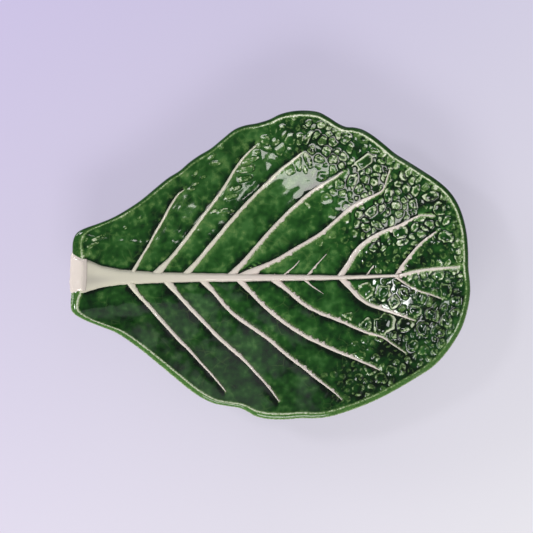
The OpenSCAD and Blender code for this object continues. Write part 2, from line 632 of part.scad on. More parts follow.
leaf_blade();
foot_ring();
midrib();
stem_end();
side_rib(upper_rib_shares[0], 1);  // upper_rib_1
side_rib(upper_rib_shares[1], 1);  // upper_rib_2
side_rib(upper_rib_shares[2], 1);  // upper_rib_3
side_rib(upper_rib_shares[3], 1);  // upper_rib_4
side_rib(upper_rib_shares[4], 1);  // upper_rib_5
side_rib(upper_rib_shares[5], 1);  // upper_rib_6
side_rib(lower_rib_shares[0], -1);  // lower_rib_1
side_rib(lower_rib_shares[1], -1);  // lower_rib_2
side_rib(lower_rib_shares[2], -1);  // lower_rib_3
side_rib(lower_rib_shares[3], -1);  // lower_rib_4
side_rib(lower_rib_shares[4], -1);  // lower_rib_5
side_rib(lower_rib_shares[5], -1);  // lower_rib_6
side_rib(tip_upper_shares, 1);  // tip_rib_upper
tip_rib_middle();
side_rib(tip_lower_shares, -1);  // tip_rib_lower
veinlets();
puckers();
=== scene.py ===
"""A glazed earthenware serving plate shaped like a cabbage leaf, dressed over its CAD frame.

All sizes are in metres, in the frame's own axes: +X from the cut stem to the leaf's tip, +Z up.
"""

import math
import random

import bmesh
import bpy
import numpy as np
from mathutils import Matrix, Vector, kdtree, noise


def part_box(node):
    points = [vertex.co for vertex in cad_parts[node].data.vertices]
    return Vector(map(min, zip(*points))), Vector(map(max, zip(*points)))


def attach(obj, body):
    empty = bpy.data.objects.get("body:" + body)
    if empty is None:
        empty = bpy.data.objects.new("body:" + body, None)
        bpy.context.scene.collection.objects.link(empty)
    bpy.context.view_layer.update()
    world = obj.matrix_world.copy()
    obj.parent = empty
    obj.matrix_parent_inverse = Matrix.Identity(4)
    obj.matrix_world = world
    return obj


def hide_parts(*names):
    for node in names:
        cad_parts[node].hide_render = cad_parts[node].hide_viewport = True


bl_info = {
    "name": "Cabbage leaf plate",
    "version": (1, 0, 0),
    "blender": (4, 5, 0),
    "location": "View3D > Sidebar > Leaf plate",
    "description": "Models and glazes a serving plate shaped like a cabbage leaf",
    "category": "Add Mesh",
}

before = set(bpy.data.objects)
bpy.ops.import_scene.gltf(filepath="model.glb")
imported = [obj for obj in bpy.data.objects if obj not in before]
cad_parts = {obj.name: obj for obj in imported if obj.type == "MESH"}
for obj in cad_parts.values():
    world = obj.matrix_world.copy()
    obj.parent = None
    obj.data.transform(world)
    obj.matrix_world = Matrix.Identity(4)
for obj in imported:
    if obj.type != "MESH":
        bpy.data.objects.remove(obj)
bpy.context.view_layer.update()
MM = 0.001

blade_low, blade_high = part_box("leaf_blade")
HALF_LENGTH = (blade_high.x - blade_low.x) / 2
HALF_WIDTH = (blade_high.y - blade_low.y) / 2
RIM_HEIGHT = blade_high.z
FOOT_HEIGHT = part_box("foot_ring")[1].z
FLOOR_THICKNESS = 4.5 * MM
FLOOR_Z = FOOT_HEIGHT + FLOOR_THICKNESS

# The photograph looks straight down on the leaf. Its middle and its scale there, in pixels.
PHOTO_SIZE = 533
PHOTO_MIDDLE = (270.2, 265.0)
PHOTO_LEAF_LENGTH = 401
PIXEL = 2 * HALF_LENGTH / PHOTO_LEAF_LENGTH

# The dish's shape, in shares of the way from its middle out to the rim
CENTRE_SHARE = (0.074, -0.049)
FLOOR_SHARE = 0.25
UNDER_FLOOR_SHARE = 0.46
WALL_POWER = 1.8
UNDER_POWER = 1.3
CENTRE = np.array([CENTRE_SHARE[0] * HALF_LENGTH, CENTRE_SHARE[1] * HALF_WIDTH])

# The usual way from the dish's middle out to its rim, which turns shares of it into lengths
USUAL_REACH = 90 * MM

# The rounded rim
LIP_WIDTH = 2.9 * MM
LIP_DROP = 2.2 * MM
EDGE_HEIGHT = 4.8 * MM
EDGE_RETURN = 1.4 * MM

# The leaf's outline, anticlockwise from the tip: x and y as shares of the half length and half
# width, the rim's height as a share of the dish's, and the lip's width as a share of the usual
OUTLINE_SHARES = [
    (0.992, -0.023, 0.92, 0.9), (0.990, 0.094, 0.93, 0.9), (0.982, 0.211, 0.92, 0.9),
    (0.962, 0.322, 0.90, 0.9), (0.932, 0.413, 0.90, 0.95), (0.892, 0.484, 0.92, 1.0),
    (0.837, 0.546, 0.95, 1.05), (0.762, 0.611, 0.96, 1.05), (0.686, 0.673, 0.94, 1.0),
    (0.626, 0.722, 0.92, 1.0), (0.571, 0.781, 0.93, 1.0), (0.516, 0.836, 0.96, 1.0),
    (0.465, 0.875, 0.97, 1.0), (0.420, 0.891, 0.95, 0.95), (0.380, 0.895, 0.93, 0.9),
    (0.340, 0.917, 0.94, 0.95), (0.290, 0.958, 0.97, 1.0), (0.240, 0.990, 0.99, 1.05),
    (0.174, 1.000, 1.00, 1.05), (0.109, 0.995, 1.00, 1.0), (0.049, 0.976, 0.98, 0.95),
    (-0.006, 0.942, 0.95, 0.85), (-0.066, 0.919, 0.93, 0.8), (-0.127, 0.904, 0.94, 0.75),
    (-0.182, 0.875, 0.95, 0.7), (-0.242, 0.813, 0.95, 0.7), (-0.297, 0.755, 0.93, 0.75),
    (-0.353, 0.712, 0.92, 0.8), (-0.403, 0.667, 0.92, 0.75), (-0.453, 0.611, 0.93, 0.75),
    (-0.513, 0.562, 0.92, 0.8), (-0.578, 0.494, 0.91, 0.8), (-0.644, 0.423, 0.91, 0.8),
    (-0.714, 0.362, 0.90, 0.85), (-0.789, 0.307, 0.89, 0.95), (-0.864, 0.268, 0.88, 1.1),
    (-0.925, 0.240, 0.87, 1.4), (-0.968, 0.208, 0.86, 1.7), (-0.988, 0.152, 0.84, 1.8),
    (-0.991, 0.081, 0.81, 2.1), (-0.994, -0.004, 0.80, 2.4), (-0.996, -0.102, 0.80, 2.4),
    (-0.996, -0.180, 0.81, 2.1), (-0.999, -0.245, 0.84, 1.5), (-0.994, -0.297, 0.86, 1.3),
    (-0.968, -0.330, 0.87, 1.3), (-0.918, -0.364, 0.88, 1.2), (-0.847, -0.400, 0.89, 1.2),
    (-0.774, -0.437, 0.91, 1.2), (-0.704, -0.495, 0.92, 1.15), (-0.629, -0.567, 0.93, 1.1),
    (-0.553, -0.648, 0.93, 1.1), (-0.478, -0.729, 0.94, 1.1), (-0.403, -0.808, 0.95, 1.1),
    (-0.338, -0.863, 0.96, 1.0), (-0.277, -0.898, 0.95, 0.9), (-0.212, -0.914, 0.93, 0.85),
    (-0.152, -0.927, 0.92, 0.9), (-0.112, -0.951, 0.93, 1.0), (-0.072, -0.980, 0.95, 1.15),
    (-0.011, -0.997, 0.97, 1.25), (0.069, -1.000, 0.99, 1.25), (0.149, -0.992, 0.99, 1.2),
    (0.230, -0.992, 0.98, 1.15), (0.302, -0.980, 0.97, 1.1), (0.379, -0.951, 0.96, 1.1),
    (0.465, -0.911, 0.95, 1.1), (0.557, -0.858, 0.95, 1.1), (0.648, -0.794, 0.96, 1.1),
    (0.733, -0.728, 0.97, 1.1), (0.808, -0.664, 0.97, 1.1), (0.869, -0.586, 0.96, 1.05),
    (0.922, -0.492, 0.95, 1.0), (0.962, -0.395, 0.94, 1.0), (0.987, -0.290, 0.93, 0.95),
    (1.000, -0.186, 0.92, 0.9), (0.999, -0.108, 0.92, 0.9),
]
# Rows of the outline at the four corners that the leaf's sheet is stretched between
STEM_UPPER, STEM_LOWER, TIP_LOWER, TIP_UPPER = 37, 44, 73, 5

# Each row of a rib holds x and y as shares of the half length and half width, and its width as
# a share of the rib's usual width
RIB_WIDTH = 2.4 * MM
VEINLET_WIDTH = 1.9 * MM
MIDRIB_WIDTH = 5.0 * MM
MIDRIB_LINE = -0.08
RIB_STEPS = 20
MIDRIB_SHARES = [
    (-0.945, -0.070, 4.4), (-0.925, -0.071, 4.25), (-0.905, -0.072, 3.9), (-0.854, -0.076, 2.9),
    (-0.804, -0.077, 2.35), (-0.754, -0.079, 2.0), (-0.704, -0.080, 1.8), (-0.604, -0.082, 1.5),
    (-0.453, -0.082, 1.25), (-0.353, -0.082, 1.13), (-0.202, -0.083, 1.04), (-0.051, -0.083, 0.9),
    (0.149, -0.083, 0.79), (0.350, -0.082, 0.66), (0.501, -0.076, 0.56), (0.651, -0.070, 0.5),
]
RIB_SHARES = {
    "upper_rib_1": [
        (-0.679, -0.017, 0.9), (-0.654, 0.042, 0.6), (-0.614, 0.126, 0.55), (-0.578, 0.211, 0.5),
        (-0.538, 0.296, 0.5), (-0.503, 0.380, 0.45), (-0.463, 0.458, 0.35), (-0.433, 0.488, 0.2),
    ],
    "upper_rib_2": [
        (-0.553, -0.030, 2.0), (-0.513, 0.029, 1.15), (-0.473, 0.090, 0.95), (-0.433, 0.156, 0.9),
        (-0.393, 0.224, 0.85), (-0.353, 0.296, 0.85), (-0.312, 0.364, 0.75), (-0.262, 0.452, 0.7),
        (-0.217, 0.536, 0.65), (-0.177, 0.624, 0.6), (-0.127, 0.709, 0.5), (-0.072, 0.777, 0.35),
    ],
    "upper_rib_3": [
        (-0.408, -0.036, 1.6), (-0.368, 0.022, 1.2), (-0.312, 0.110, 1.15), (-0.257, 0.195, 1.1),
        (-0.202, 0.283, 1.0), (-0.137, 0.377, 0.9), (-0.072, 0.465, 0.85), (-0.006, 0.546, 0.8),
        (0.049, 0.618, 0.75), (0.104, 0.673, 0.65), (0.159, 0.732, 0.4),
    ],
    "upper_rib_4": [
        (-0.177, -0.040, 1.7), (-0.132, 0.022, 1.2), (-0.077, 0.107, 1.1), (-0.021, 0.191, 1.0),
        (0.034, 0.270, 0.95), (0.094, 0.348, 0.9), (0.149, 0.413, 0.9), (0.205, 0.475, 0.85),
        (0.260, 0.523, 0.75), (0.315, 0.563, 0.6), (0.365, 0.608, 0.4),
    ],
    "upper_rib_5": [
        (-0.092, -0.046, 2.1), (-0.031, -0.007, 1.15), (0.049, 0.045, 1.0), (0.149, 0.123, 0.9),
        (0.250, 0.201, 0.85), (0.340, 0.299, 0.85), (0.400, 0.367, 1.0), (0.460, 0.416, 0.85),
        (0.526, 0.455, 0.6), (0.566, 0.490, 0.45), (0.586, 0.563, 0.4), (0.601, 0.628, 0.25),
    ],
    "upper_rib_6": [
        (0.370, -0.046, 1.6), (0.400, 0.016, 1.3), (0.430, 0.081, 1.3), (0.470, 0.136, 1.25),
        (0.526, 0.188, 1.0), (0.581, 0.224, 0.85), (0.636, 0.250, 0.75), (0.691, 0.286, 0.5),
        (0.752, 0.322, 0.4), (0.822, 0.318, 0.3),
    ],
    "lower_rib_1": [
        (-0.694, -0.137, 1.6), (-0.659, -0.199, 1.05), (-0.614, -0.261, 1.0), (-0.563, -0.336, 0.95),
        (-0.513, -0.408, 0.9), (-0.453, -0.492, 0.85), (-0.403, -0.557, 0.75), (-0.353, -0.629, 0.5),
        (-0.302, -0.700, 0.45), (-0.262, -0.759, 0.45), (-0.222, -0.824, 0.25),
    ],
    "lower_rib_2": [
        (-0.503, -0.131, 1.8), (-0.458, -0.202, 1.15), (-0.398, -0.287, 1.1), (-0.327, -0.382, 1.0),
        (-0.262, -0.469, 1.0), (-0.197, -0.544, 0.95), (-0.137, -0.613, 0.85), (-0.082, -0.688, 0.65),
        (-0.031, -0.759, 0.55), (0.009, -0.821, 0.5), (0.044, -0.883, 0.3),
    ],
    "lower_rib_3": [
        (-0.322, -0.124, 1.7), (-0.282, -0.180, 1.2), (-0.242, -0.245, 1.0), (-0.197, -0.307, 1.0),
        (-0.137, -0.368, 1.1), (-0.067, -0.430, 1.0), (-0.001, -0.492, 0.95), (0.054, -0.554, 0.85),
        (0.109, -0.613, 0.8), (0.169, -0.671, 0.75), (0.225, -0.730, 0.7), (0.280, -0.785, 0.6),
        (0.325, -0.831, 0.5), (0.360, -0.876, 0.25),
    ],
    "lower_rib_4": [
        (-0.137, -0.121, 1.7), (-0.092, -0.186, 1.1), (-0.036, -0.261, 1.05), (0.024, -0.329, 1.05),
        (0.099, -0.401, 1.0), (0.174, -0.463, 0.95), (0.250, -0.512, 0.85), (0.325, -0.557, 0.75),
        (0.400, -0.596, 0.65), (0.460, -0.629, 0.55), (0.511, -0.658, 0.6), (0.551, -0.684, 0.3),
    ],
    "lower_rib_5": [
        (0.044, -0.118, 1.7), (0.084, -0.160, 1.2), (0.129, -0.212, 1.1), (0.179, -0.264, 1.0),
        (0.240, -0.307, 0.9), (0.300, -0.339, 0.85), (0.365, -0.372, 0.75), (0.425, -0.408, 0.7),
        (0.491, -0.443, 0.6), (0.561, -0.469, 0.5), (0.621, -0.521, 0.45), (0.681, -0.574, 0.25),
    ],
    "lower_rib_6": [
        (0.375, -0.105, 1.7), (0.410, -0.157, 1.2), (0.445, -0.206, 1.2), (0.491, -0.251, 1.0),
        (0.551, -0.281, 0.9), (0.611, -0.307, 0.8), (0.671, -0.336, 0.7), (0.726, -0.362, 0.35),
    ],
    "tip_rib_upper": [
        (0.642, -0.053, 0.8), (0.672, 0.006, 0.8), (0.718, 0.084, 0.6), (0.772, 0.159, 0.5),
        (0.832, 0.217, 0.3),
    ],
    "tip_rib_middle": [
        (0.651, -0.070, 1.04), (0.711, -0.049, 0.75), (0.772, -0.033, 0.7), (0.852, -0.022, 0.65),
        (0.942, -0.012, 0.4),
    ],
    "tip_rib_lower": [
        (0.642, -0.085, 0.7), (0.692, -0.132, 0.5), (0.742, -0.167, 0.4), (0.797, -0.189, 0.35),
        (0.862, -0.222, 0.25),
    ],
}
VEINLET_SHARES = [
    [(0.094, -0.040, 0.5), (0.122, -0.010, 0.4), (0.149, 0.029, 0.25)],
    [(0.205, -0.043, 0.5), (0.240, 0.009, 0.4), (0.285, 0.071, 0.3)],
    [(0.501, -0.043, 0.45), (0.512, -0.022, 0.4), (0.523, -0.001, 0.25)],
    [(0.189, -0.115, 0.5), (0.225, -0.150, 0.4), (0.270, -0.189, 0.25)],
]

# Puckers of the leaf that stand out in the photograph: the middle in its pixels, the
# half length and half width in pixels, the turn anticlockwise from +X in degrees, and how high
# the pucker stands, as a share of the usual height
PUCKERS = [
    (266, 139, 5, 4.5, 0, 0.8), (275, 141, 5, 3.5, 10, 0.7), (268, 148, 4.5, 3, -20, 0.6),
    (284, 134, 5, 2.5, 70, 0.6), (300, 138, 6, 3.5, 80, 0.7), (308, 138, 10, 2.5, 58, 0.8),
    (321, 125, 4.5, 3, 0, 0.8), (329, 127, 3.5, 2.5, 20, 0.7), (323, 140, 5, 4.5, 0, 0.9),
    (333, 141, 5, 4.5, 30, 0.9), (327, 150, 5.5, 4.5, 70, 1.0), (334, 158, 4.5, 4.5, 0, 0.9),
    (320, 158, 5, 4.5, 20, 0.8), (312, 149, 4.5, 4, 40, 0.7), (309, 160, 9, 3, -62, 1.0),
    (299, 163, 7, 4, -68, 0.9), (305, 167, 5.5, 2.7, -70, 0.7), (290, 169, 5.5, 4.5, -50, 0.8),
    (344, 156, 4.5, 4.5, 0, 0.7), (346, 138, 5.5, 4.5, 60, 0.7), (350, 148, 6, 3, 80, 0.6),
    (364.5, 161, 16, 5, 36, 1.4), (353, 180, 9, 4.5, 68, 1.1), (340, 183, 5, 4.5, 0, 1.0),
    (344, 192, 4, 3.5, 20, 0.7), (369, 170, 3.5, 3, 0, 0.7), (375, 181, 4.5, 4, 20, 0.8),
    (366, 179, 4.5, 4, -30, 0.8), (360, 188, 4.5, 4.5, 30, 0.8), (387, 179, 7, 5, 78, 1.1),
    (390, 169, 4.5, 2.7, 80, 0.8), (383, 188, 7, 3, 84, 0.8), (389, 194, 7, 5, 62, 1.0),
    (399, 183, 5, 4, 80, 0.8), (408, 188, 5, 4, -60, 0.8), (416, 190, 6.5, 4, 60, 0.8),
    (379, 168, 5, 4.5, 0, 0.7), (372, 211.5, 9, 4, 42, 1.1), (382, 207, 4.5, 3.7, 60, 0.9),
    (367, 227, 5, 5, 0, 0.9), (379, 224, 7, 3.5, -10, 0.8), (357.5, 223, 5, 3, 70, 0.7),
    (398, 204, 5, 4, 10, 0.9), (405, 200, 4.5, 3.5, 30, 0.7), (393, 221, 5.5, 3, 80, 0.8),
    (401, 232, 8, 6, 15, 1.1), (405, 241, 8, 3, 18, 0.8), (416, 227, 5, 3, 48, 0.8),
    (423, 218, 8, 2.7, 14, 0.8), (430.5, 216, 5, 3.2, 10, 0.8), (430, 196, 8, 4, 18, 0.8),
    (441, 208, 6.5, 6.5, 0, 0.9), (414, 204, 5.5, 4.5, 60, 0.8), (447, 237, 7.5, 6, 10, 0.9),
    (448, 221, 5, 4, 60, 0.7), (334, 236, 5.5, 4, 70, 0.5), (320, 242, 5, 4, 60, 0.4),
    (309, 204, 4, 4, 0, 0.5),
    (369.5, 291, 10, 8, 20, 1.35), (384, 293, 9, 9, 0, 1.35), (375, 301, 5, 4, -20, 0.9),
    (396, 302, 8, 6, 30, 1.3), (405, 294, 6, 6, 0, 0.9), (404, 309, 4, 4, 0, 0.8),
    (350, 317, 6, 5.5, 60, 1.2), (367, 326, 8, 7, 30, 1.3), (385.5, 325, 12, 10, 30, 1.4),
    (406, 325, 9, 6.5, 20, 1.2), (395, 335, 5, 4, 20, 0.9), (422, 298, 7, 6.5, 20, 1.0),
    (431, 301, 6.5, 4, 80, 0.9), (416, 312, 6.5, 6.5, 0, 1.0), (434, 316, 7, 6.5, 0, 1.1),
    (446.5, 323, 7, 6, 70, 1.0), (424, 330, 9, 6.5, 80, 1.1), (439.5, 332, 7, 6, 60, 1.0),
    (414, 346, 6, 6, 0, 1.0), (424, 351, 6, 4.5, 40, 1.0), (407, 340, 4, 3.5, 0, 0.8),
    (441, 343, 5, 5, 30, 0.9), (446.5, 291, 8, 6, 80, 0.9), (456, 301, 5.5, 5.5, 0, 0.8),
    (456, 312, 5, 4.5, 0, 0.8), (372, 369, 8, 6.5, 20, 1.0), (360, 356, 7, 4.5, -10, 0.8),
    (377, 359, 4.5, 4, 60, 0.8), (344, 350, 5, 3.5, -20, 0.6), (327, 341, 4, 3, 0, 0.5),
    (360, 378, 5, 4, 20, 0.8), (350, 383, 5, 4, -30, 0.8), (344, 378, 4.5, 3.5, 0, 0.7),
    (334, 375, 4, 4, 0, 0.7), (324.5, 377, 4.5, 3, 10, 0.6), (358, 390.5, 7, 6, 0, 0.8),
    (382, 378, 6.5, 6, 0, 0.7), (392, 371, 8, 5, 20, 0.8), (403, 369, 7, 4, 60, 0.8),
    (397, 364, 4.5, 3.5, 70, 0.7), (409, 361, 5, 4, 40, 0.7), (357, 344, 4.5, 3, 0, 0.6),
    (371.5, 350, 3.5, 3, 0, 0.6), (430, 283, 5, 4.5, 0, 0.8), (440, 276, 7, 4, 20, 0.8),
    (449, 281, 4, 3.5, 0, 0.7), (460, 285, 5, 3, 70, 0.7),
    (247, 168, 10, 2.8, 12, 1.2), (242, 178, 9, 2.8, 14, 1.2), (235, 187, 9, 2.6, 10, 1.1),
    (224, 210, 14, 2.6, 4, 1.1), (251, 159, 9, 2.4, 18, 1.0), (229, 196, 8, 2.2, 10, 0.8),
    (196, 183, 6, 1.8, 22, 0.5), (203, 176, 6, 2, 50, 0.6), (214, 163, 8, 2, 8, 0.4),
    (236, 160, 5, 2, 40, 0.4), (124, 227, 8, 1.8, 22, 0.4), (212, 157, 4.5, 1.8, 45, 0.6),
    (195, 173, 5.5, 1.8, 55, 0.5), (190, 189, 5.5, 1.8, 15, 0.5), (222, 147, 4, 3, 0, 0.6),
    (257.5, 145, 3.5, 3, 0, 0.7), (257, 152, 2.7, 2.5, 0, 0.6), (138, 218, 4, 1.8, 20, 0.4),
    (99, 237, 9, 2, 22, 0.7), (91, 245.5, 8, 2, 30, 0.7), (84, 239, 4, 3, 60, 0.6),
]

# Stretches near the tip where the photographed leaf is smooth: middle, half length and half width
# in its pixels
CALM_SPOTS = [
    (432, 251, 26, 9), (360, 141, 12, 10), (423, 205, 10, 7), (330, 228, 22, 16), (345, 250, 14, 12),
    (388, 260, 26, 12), (400, 352, 14, 12), (296, 125, 12, 8), (420, 262, 18, 8), (352, 270, 20, 7),
    (392, 350, 22, 9), (383, 308, 40, 27),
]
# The seeded puckers between them: the tries at placing one, how far out and how far off the ribs
# it may lie, and how near another one, as a share of both their sizes
PUCKER_SEED = 11
PUCKER_TRIES = 9000
PUCKER_REACH = 0.985
PUCKER_CLEARANCE = 0.9 * MM
PUCKER_CROWDING = 0.84
# How many puckers are looked at for each point, and the power that squares their outlines off
NEIGHBOURS = 7
SQUARENESS = 2.5
# From one pucker to the next, this step through the shades spreads them evenly
SHADE_STEP = 0.618
# Two noises that bend the puckers' outlines: the length of each, its reach and its seed, and the
# share of the bend that the puckers read from the photograph don't take
WARPS = ((4.2 * MM, 1.3 * MM, 0.3), (1.7 * MM, 0.5 * MM, 0.7))
KEPT_OUTLINE = 0.65
# Lengths of the leaf's soft noises: its dimples, its flecks, its swellings and its calm stretches
MOTTLE_LENGTH = 6.0 * MM
FLECK_LENGTH = 2.6 * MM
SWELL_LENGTH = 17 * MM
CALM_LENGTH = 15 * MM
# The swellings between the ribs: their height, and how much it varies
SWELLING_HEIGHT = 0.45 * MM
SWELLING_VARIATION = 0.2 * MM
# The stretches that the relief dies out over: towards the rim, a rib and a veinlet
RIM_FADE = 2.2 * MM
RIB_FADE = 1.3 * MM
VEINLET_FADE = 0.7 * MM
# How wide the glaze lies otherwise: pale on the rim's inner edge, freckled inside that, painted
# light on a rib's lee side and pale right against it, and painted shade on its other side and beside
# the midrib
CREST_WIDTH = 0.65 * MM
MARGIN_WIDTH = 3.4 * MM
LEE_LIGHT_WIDTH = 3.6 * MM
FRINGE_WIDTH = 0.5 * MM
SHADE_WIDTH = 2.9 * MM
MIDRIB_SHADE_WIDTH = 1.1 * MM
SHEET_COLUMNS = 320
SHEET_ROWS = 220
# Each ring round the lip: its turn in degrees, and how pale the glaze is there on the far side of
# the leaf and on the near side, where the extra paleness is partly thinner glaze and partly painted
# light
LIP_TURNS = [
    (12, 0.15, 0.2), (26, 0.08, 0.16), (42, 0.06, 0.2), (56, 0.07, 0.34), (70, 0.09, 0.5),
    (84, 0.09, 0.62), (105, 0.06, 0.5), (130, 0.02, 0.2), (155, 0.0, 0.0), (180, 0.0, 0.0),
]
# The pucker's edge lies at this value of the border layer, and one unit of it is so long
BORDER_EDGE = 0.4
BORDER_UNIT = 4 * MM
# Half the width of the channel between two crowded puckers
HALF_CHANNEL = 0.35 * MM
# Each ring of the underside, in shares of the way out from the dish's middle
UNDER_SHARES = [0.94, 0.88, 0.81, 0.74, 0.67, 0.6, 0.53, UNDER_FLOOR_SHARE]
# The share of the glaze that has pooled on the lip's far side, on its near side and underneath;
# the far side's extra darkness is painted shade
FAR_LIP_POOLED_AND_SHADED, NEAR_LIP_POOLED_AND_LIT, UNDER_POOLED = 0.5, 0.22, 0.25
# How deep a rib and the stem's pale lip are let into the leaf
SEAT_DEPTH = 0.4 * MM
# The bands across a rib, and how its edges wander: in teeth and in waves, each so long and
# reaching out so far
RIB_BANDS = 10
TOOTH_LENGTH = 2.0 * MM
TOOTH_REACH = 1.5 * MM
EDGE_WAVE_LENGTH = 5.0 * MM
EDGE_WAVE_REACH = 0.2 * MM
# The cream turns greenish over so far towards the stem and the far side
TINGE_RUN = 75 * MM
# The stem's pale lip: the samples along its crest, how far it stands proud, how uneven it is and
# over what length, and the height and the row length of its tongue
CREST_SAMPLES = 200
PAD_HEIGHT = 0.95 * MM
PAD_UNEVENNESS = 0.3 * MM
PAD_LENGTH = 4.0 * MM
TONGUE_HEIGHT = 1.05 * MM
TONGUE_STEP = 0.7 * MM

# The layers that the green and the cream glaze are coloured by
GREEN_LAYERS = ("pooled_and_shaded", "pale", "border", "bold")
CREAM_LAYERS = ("lapped", "tinged", "shaded_grey")

# The table's half size, how far from the dish's middle its tones still change, and the share of
# its tone that comes of itself
BOARD_HALF_SIZE = 3.0
BOARD_REACH = 0.17
BOARD_GLOW = 0.62
# Light of the air, and what the pale wall past the far side adds to it
AIR_LIGHT = 0.18
PALE_WALL_LIGHT = 0.46


class LeafPlateSizes(bpy.types.PropertyGroup):
    """Sizes of the moulded relief"""

    pucker_height: bpy.props.FloatProperty(
        name="Pucker height", description="How far the leaf's puckers stand proud near its tip",
        default=0.95 * MM, min=0.0, unit="LENGTH",
    )
    mottle_height: bpy.props.FloatProperty(
        name="Dimple height", description="How far the soft dimples stand proud near the stem",
        default=0.09 * MM, min=0.0, unit="LENGTH",
    )
    rib_height: bpy.props.FloatProperty(
        name="Rib height", description="How far a side rib stands proud of the leaf",
        default=1.0 * MM, min=0.0, unit="LENGTH",
    )
    midrib_height: bpy.props.FloatProperty(
        name="Midrib height", description="How far the midrib stands proud in mid leaf",
        default=2.1 * MM, min=0.0, unit="LENGTH",
    )
    stem_height: bpy.props.FloatProperty(
        name="Stem height", description="How far the flat stem stands proud at its cut end",
        default=1.1 * MM, min=0.0, unit="LENGTH",
    )


class LeafPlateGlazes(bpy.types.PropertyGroup):
    """Colours of the glazes, as written in sRGB hex"""

    # Also the colour of the painted shade beside the ribs and the midrib
    pooled_and_shaded: bpy.props.StringProperty(
        name="Pooled green", description="Green glaze where it lies thick in the channels",
        default="#021807",
    )
    deep: bpy.props.StringProperty(
        name="Deep green", description="Green glaze where it lies a little thick",
        default="#0D3A10",
    )
    middling: bpy.props.StringProperty(
        name="Green", description="Green glaze at its usual thickness", default="#23571D",
    )
    light: bpy.props.StringProperty(
        name="Light green", description="Green glaze where it lies a little thin",
        default="#3F7436",
    )
    # Also the colour of the painted light on the lip's near side and on a rib's lee side
    thin: bpy.props.StringProperty(
        name="Thin green", description="Green glaze where it thins over a swelling",
        default="#779C55",
    )
    # Also the colour of the painted highlights on the tallest puckers' edges
    broken: bpy.props.StringProperty(
        name="Broken green", description="Where the glaze breaks on a sharp edge",
        default="#DDE4CB",
    )
    cream: bpy.props.StringProperty(
        name="Cream", description="Cream glaze on the ribs", default="#EFE4DC",
    )
    tinged: bpy.props.StringProperty(
        name="Tinged cream", description="Cream glaze with a little green, by the stem",
        default="#F1EDDA",
    )
    # The colour of the painted shade along the stem's hollow
    shaded_grey: bpy.props.StringProperty(
        name="Greyed cream", description="Cream glaze where it lies thick along the stem",
        default="#C6C2B7",
    )
    clay: bpy.props.StringProperty(
        name="Bare clay", description="Fired clay of the unglazed foot", default="#D9C3A4",
    )


class LeafPlateStudio(bpy.types.PropertyGroup):
    """Camera and lamps"""

    camera_height: bpy.props.FloatProperty(
        name="Camera height", description="Height of the camera over the table",
        default=2.4, min=0.5, unit="LENGTH",
    )
    key_power: bpy.props.FloatProperty(
        name="Key power", description="Power of each square metre of the near side's soft boxes",
        default=29.0, subtype="POWER",
    )
    glint_power: bpy.props.FloatProperty(
        name="Glint power", description="Power of the small box past the stem, for the glints",
        default=3.8, subtype="POWER",
    )
    window_power: bpy.props.FloatProperty(
        name="Window power", description="Power of the low box past the stem, for the arcs",
        default=5.6, subtype="POWER",
    )


def smooth_step(low, high, value):
    """0 below low, 1 above high and a smooth rise between them"""
    share = np.clip((value - low) / (high - low), 0, 1)
    return share * share * (3 - 2 * share)


def bell(value, width):
    """1 where the value is 0, dying out over about the width"""
    return np.exp(-((value / width) ** 2))


def curve_through(rows, steps, closed):
    """A smooth curve through rows, with so many samples for each row"""
    rows = np.array(rows, float)
    if closed:
        ring = np.vstack([rows[-1:], rows, rows[:2]])
    else:
        ring = np.vstack([rows[:1], rows, rows[-1:]])
    samples = []
    for a, b, c, d in zip(ring, ring[1:], ring[2:], ring[3:]):
        for step in range(steps):
            t = step / steps
            bend = 2 * a - 5 * b + 4 * c - d
            twist = 3 * b - 3 * c + d - a
            samples.append((2 * b + (c - a) * t + bend * t**2 + twist * t**3) / 2)
    if not closed:
        samples.append(rows[-1])
    return np.array(samples)


def linear(hex_colour):
    """An sRGB hex colour as linear red, green, blue and alpha"""
    shares = [int(hex_colour[i : i + 2], 16) / 255 for i in (1, 3, 5)]
    return [s / 12.92 if s <= 0.04045 else ((s + 0.055) / 1.055) ** 2.4 for s in shares] + [1.0]


OUTLINE_STEPS = 12
outline = curve_through(OUTLINE_SHARES, OUTLINE_STEPS, closed=True)
outline *= (HALF_LENGTH, HALF_WIDTH, RIM_HEIGHT, LIP_WIDTH)
outline[:, :2] -= CENTRE
outline_reach = np.hypot(outline[:, 0], outline[:, 1])
outline_angle = np.arctan2(outline[:, 1], outline[:, 0])
by_angle = np.argsort(outline_angle)
# The rim round the dish's middle, at even turns: reach, height and lip width, and the same with
# the leaf's waves smoothed out, which is what the wall follows further in
ROUND_TURNS = np.radians(np.arange(-180, 180, 0.5))
ROUND_RIM = np.column_stack([
    np.interp(ROUND_TURNS, outline_angle[by_angle], column[by_angle], period=2 * math.pi)
    for column in (outline_reach, outline[:, 2], outline[:, 3])
])
WAVE_TURN = math.radians(9)
wave = bell(ROUND_TURNS, WAVE_TURN)
SMOOTH_RIM = np.column_stack([
    np.real(np.fft.ifft(np.fft.fft(column) * np.fft.fft(np.fft.ifftshift(wave / wave.sum()))))
    for column in ROUND_RIM.T
])


def rim_towards(points, rim=ROUND_RIM):
    """For each plan point: its distance from the dish's middle, and the outline's reach, the
    rim's height and the lip's width in its direction"""
    offset = points - CENTRE
    angle = np.arctan2(offset[:, 1], offset[:, 0])
    values = [np.interp(angle, ROUND_TURNS, column, period=2 * math.pi) for column in rim.T]
    return np.hypot(offset[:, 0], offset[:, 1]), *values


def share_out(points):
    """How far out each plan point lies, from 0 in the middle to 1 on the rim's inner edge"""
    distance, reach, _, lip = rim_towards(points)
    return distance / (reach - lip)


